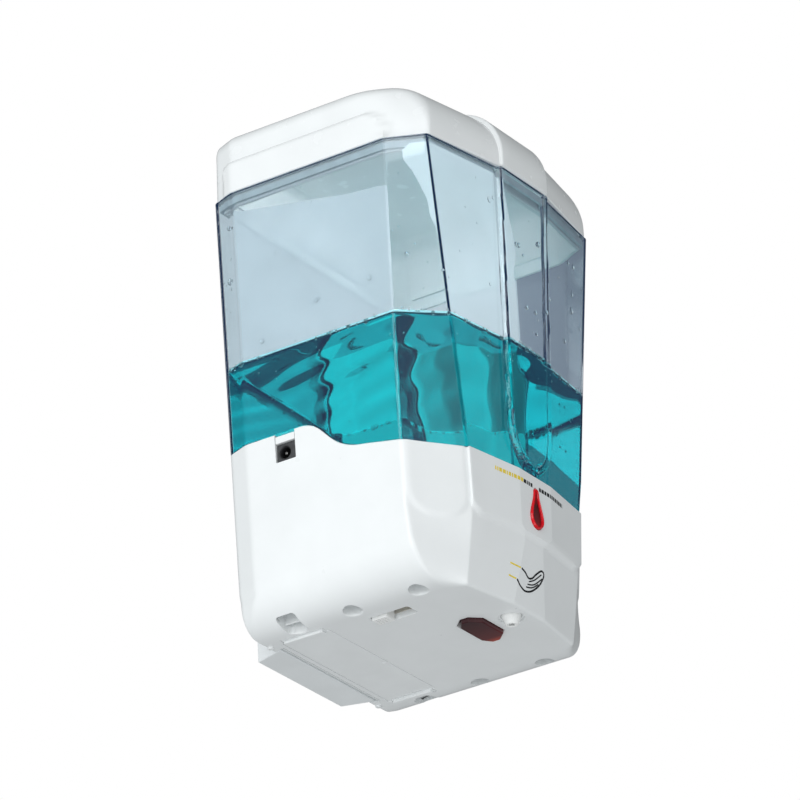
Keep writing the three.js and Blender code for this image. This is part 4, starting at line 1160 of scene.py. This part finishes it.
def make_screw(name):
    """A cross head screw in place of a CAD node, with its thread."""
    low, high = (Vector(corner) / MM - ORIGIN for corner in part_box(name))
    cx, cy = (low.x + high.x) / 2, (low.y + high.y) / 2
    head, base, top = (high.x - low.x) / 2, low.z, high.z
    root, crest, pitch = 1.15, 1.45, 0.9
    profile = [(0, base), (head - 0.9, base), (head - 0.3, base + 0.35), (head, base + 0.9),
               (head, base + 1.9), (crest, base + 2.0)]
    for k in range(int((top - base - 3.2) / pitch)):
        z = base + 2.2 + pitch * k
        profile += [(root, z), (crest, z + pitch / 2)]
    profile += [(1.0, top - 0.9), (0.15, top), (0, top)]
    cross = [block(cx - a, cx + a, cy - b, cy + b, base - 1, base + 1.2)
             for a, b in ((1.7, 0.35), (0.35, 1.7))]
    return cut(lathe(profile, (cx, cy, 0), sides=28), *cross)


for side_name in ("left", "right"):
    for i in (1, 2, 3):
        node = f"screw_{side_name}_{i}"
        place(make_screw(node), f"thread_{side_name}_{i}", "dispenser", STEEL, [node])


# ------------------------------------------------------------------ parts kept from the CAD frame
KEPT = (
    (WHITE, "jack_insert", "tank_seat"),
    (SEAL, "lid_gasket"),
    (SILICONE, "nozzle_valve", "pump_tube"),
    (BEIGE, "switch_body"),
    (CASE_WHITE, "battery_case"),
    (PLATED, "contact_spring_2", "contact_spring_4", "door_contact_left", "door_contact_right"),
    (GREY, "pump_housing", "gear_plate"),
    (GEAR, "rotor", "drive_gear", "roller_1", "roller_2", "roller_3"),
    (STEEL, "rotor_shaft", "motor_shaft", "motor"),
    (BRASS, "motor_pinion"),
    (BOARD, "control_board", "sensor_board", "indicator_board"),
    (CHIP, "control_chip", "power_inductor", "infrared_receiver"),
    (BLACK, "capacitor"),
    (WATER, "infrared_emitter"),
    (DIODE_RED, "indicator_diode"),
    (WIRE, "jack_lead", "motor_lead"),
)
for finish, name in [(row[0], name) for row in KEPT for name in row[1:]]:
    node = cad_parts[name]
    node.data.materials.clear()
    node.data.materials.append(finish)
    for part in ("custom_normal", "sharp_face"):
        if part in node.data.attributes:
            node.data.attributes.remove(node.data.attributes[part])
    weld = node.modifiers.new("weld", "WELD")
    weld.merge_threshold = 0.000004
    bevel = node.modifiers.new("bevel", "BEVEL")
    bevel.width, bevel.segments, bevel.limit_method = 0.00022, 2, "ANGLE"
    bevel.angle_limit, bevel.use_clamp_overlap, bevel.harden_normals = math.radians(40), True, True
    node.data.shade_smooth()


# ------------------------------------------------------------------ studio
scene = bpy.context.scene
world = bpy.data.worlds.new("studio")
scene.world = world
world.use_nodes = True
sky = world.node_tree
sky.nodes.clear()
ray = add_node(sky, "LightPath", {})
direction = add_node(sky, "TexCoord", {}).outputs["Generated"]


def calculate(operation, a, b):
    """A math node between two sockets or numbers."""
    node = add_node(sky, "Math", {0: a, 1: b})
    node.operation = operation
    return node.outputs[0]


def glow(towards, spread, strength):
    """Brightness of a soft round patch of the studio in one direction."""
    dot = add_node(sky, "VectorMath", {0: direction, 1: Vector(towards).normalized()})
    dot.operation = "DOT_PRODUCT"
    patch = add_node(sky, "MapRange", {"Value": dot.outputs["Value"], "To Max": strength, "From Max": 1.0,
                                       "From Min": math.cos(math.radians(spread))})
    patch.interpolation_type = "SMOOTHSTEP"
    return patch.outputs["Result"]


total = glow((0, 0, 1), 180, 0.30)
for patch in (
    ((-1.0, 0.30, -0.05), 62, 1.04),
    ((-0.3, -1.0, -0.1), 55, 0.62),
    ((0.76, -0.48, 0.1), 45, 0.35),
    ((0.75, 0.6, 0.45), 50, 0.46),
    ((0.78, 0.5, -0.42), 48, 0.80),
    ((0, 0, 1), 60, 0.14),
    ((-0.2, -0.1, -1.0), 75, 0.60),
):
    total = calculate("ADD", total, glow(*patch))
mirrored = calculate("MULTIPLY", ray.outputs["Is Glossy Ray"],
                     calculate("SUBTRACT", 1.0, ray.outputs["Is Transmission Ray"]))
dimmed = calculate("SUBTRACT", 1.0, calculate("MULTIPLY", mirrored, 0.78))
# What is seen straight through the soap and the walls has dark and light parts of its own.
scattered_light = calculate("MINIMUM", ray.outputs["Diffuse Depth"], 1.0)
looked_through = calculate("MULTIPLY", ray.outputs["Is Transmission Ray"],
                           calculate("SUBTRACT", 1.0, scattered_light))
for towards, spread, amount in (((0.477, 0.763, -0.435), 24, 0.62), ((-0.80, 0.50, 0.25), 45, 0.75)):
    shadow = calculate("MULTIPLY", looked_through, glow(towards, spread, amount))
    dimmed = calculate("MULTIPLY", dimmed, calculate("SUBTRACT", 1.0, shadow))
shine = calculate("MULTIPLY", looked_through, glow((0.76, -0.483, -0.435), 28, 0.45))
total = calculate("ADD", total, shine)
seen = add_node(sky, "Background", {"Color": (1, 1, 1, 1), "Strength": 1.0})
lit = add_node(sky, "Background", {"Color": (0.955, 0.985, 1.0, 1),
                                   "Strength": calculate("MULTIPLY", total, dimmed)})
choose = add_node(sky, "MixShader", {0: ray.outputs["Is Camera Ray"], 1: lit.outputs[0],
                                     2: seen.outputs[0]})
add_node(sky, "OutputWorld", {"Surface": choose.outputs[0]})


def hide_from(thing, *kinds):
    """Makes an object invisible to some kinds of ray."""
    for kind in kinds:
        setattr(thing, "visible_" + kind, False)


def lamp(name, at, aim, upright, size, power, spread=180, color=(1, 1, 1)):
    """A rectangular lamp that shines along aim; upright is the up axis that its turn is made with."""
    light = bpy.data.lights.new(name, "AREA")
    light.shape, light.size, light.size_y, light.energy = "RECTANGLE", *size, power
    light.spread, light.color = math.radians(spread), color
    unit = bpy.data.objects.new(name, light)
    scene.collection.objects.link(unit)
    unit.location = at
    unit.rotation_euler = Vector(aim).to_track_quat("-Z", upright).to_euler()
    return unit


MIDDLE = Vector((0, -0.07, 0.08))
for name, at, size, power in (
    ("key", (-1.5, -0.25, 0.30), (1.0, 1.3), 8.1),
    ("front", (-0.7, -1.5, -0.1), (0.9, 0.9), 2.2),
    ("under", (-0.5, -0.5, -1.4), (0.9, 0.9), 2.6),
):
    hide_from(lamp(name, at, MIDDLE - Vector(at), "Y", size, power), "camera")

# Small lamps inside the tank stand for the light that reaches the lid through the clear walls.
for name, at, aim, size, power, spread, color in (
    ("lid_back_light", (0, -100, 232), (0, 1, -0.04), (120, 14), 0.020, 50, (1, 1, 1)),
    ("lid_side_light", (-62, -55, 232), (1, 0, -0.04), (70, 14), 0.010, 50, (1, 1, 1)),
    ("ceiling_light", (34, -72, 150), (0, 0, 1), (66, 80), 0.011, 150, (0.40, 1.0, 0.96)),
):
    unit = lamp(name, (Vector(at) + ORIGIN) * MM, aim, "Z", [side * MM for side in size], power, spread,
                color)
    hide_from(unit, "camera", "glossy", "transmission")

bpy.ops.mesh.primitive_plane_add(size=60, location=(0, 0, -3.2))
floor = bpy.context.object
floor.name = "studio_floor"
floor_finish = shade("floor", (0.82, 0.83, 0.84), 0.7, variation=0.03, scale=3, bump=0.05, grain=60)
floor.data.materials.append(floor_finish)
hide_from(floor, "diffuse", "glossy", "transmission")

# A dark board on the right of the tank, brighter towards the back, that is seen only through clear parts.
mesh = bpy.data.meshes.new("dark_wall")
corners = [(0.11, y, z) for y, z in ((-0.065, 0.30), (-0.22, 0.30), (-0.22, 0.10), (-0.065, 0.10))]
mesh.from_pydata(corners, [], [(0, 1, 2, 3)])
mesh.uv_layers.new(name="plan")
for loop, spot in zip(mesh.uv_layers["plan"].data, ((0, 0), (1, 0), (1, 1), (0, 1))):
    loop.uv = spot
made = bpy.data.materials.new("dark_wall")
made.use_nodes = True
tree = made.node_tree
tree.nodes.clear()
split = add_node(tree, "SeparateXYZ", {"Vector": add_node(tree, "UVMap", {}).outputs["UV"]})
fade = add_node(tree, "MapRange", {"Value": split.outputs["X"], "To Min": 0.34, "To Max": 0.06})
shine = add_node(tree, "Emission", {"Color": (0.86, 0.92, 1.04, 1), "Strength": fade.outputs["Result"]})
add_node(tree, "OutputMaterial", {"Surface": shine.outputs[0]})
mesh.materials.append(made)
board = bpy.data.objects.new("dark_wall", mesh)
scene.collection.objects.link(board)
hide_from(board, "camera", "diffuse", "glossy", "volume_scatter", "shadow")

# ------------------------------------------------------------------ camera
azimuth, elevation, roll = (math.radians(a) for a in (-57.59, -25.78, -3.16))
back = Vector((math.sin(azimuth) * math.cos(elevation), -math.cos(azimuth) * math.cos(elevation),
               math.sin(elevation)))
right = Vector((math.cos(azimuth), math.sin(azimuth), 0))
up = back.cross(right)
sideways = right * math.cos(roll) + up * math.sin(roll)
above = up * math.cos(roll) - right * math.sin(roll)
lens = bpy.data.cameras.new("camera")
lens.sensor_width, lens.lens = 36, 282.8
lens.shift_x, lens.shift_y = -0.0194, 0.0147
lens.clip_start, lens.clip_end = 0.05, 100
camera = bpy.data.objects.new("camera", lens)
scene.collection.objects.link(camera)
scene.camera = camera
camera.location = Vector((0, -0.0725, 0.078)) + back * 2.964
camera.rotation_mode = "QUATERNION"
camera.rotation_quaternion = Matrix([[sideways[i], above[i], back[i]] for i in range(3)]).to_quaternion()
scene.view_settings.view_transform = "Standard"
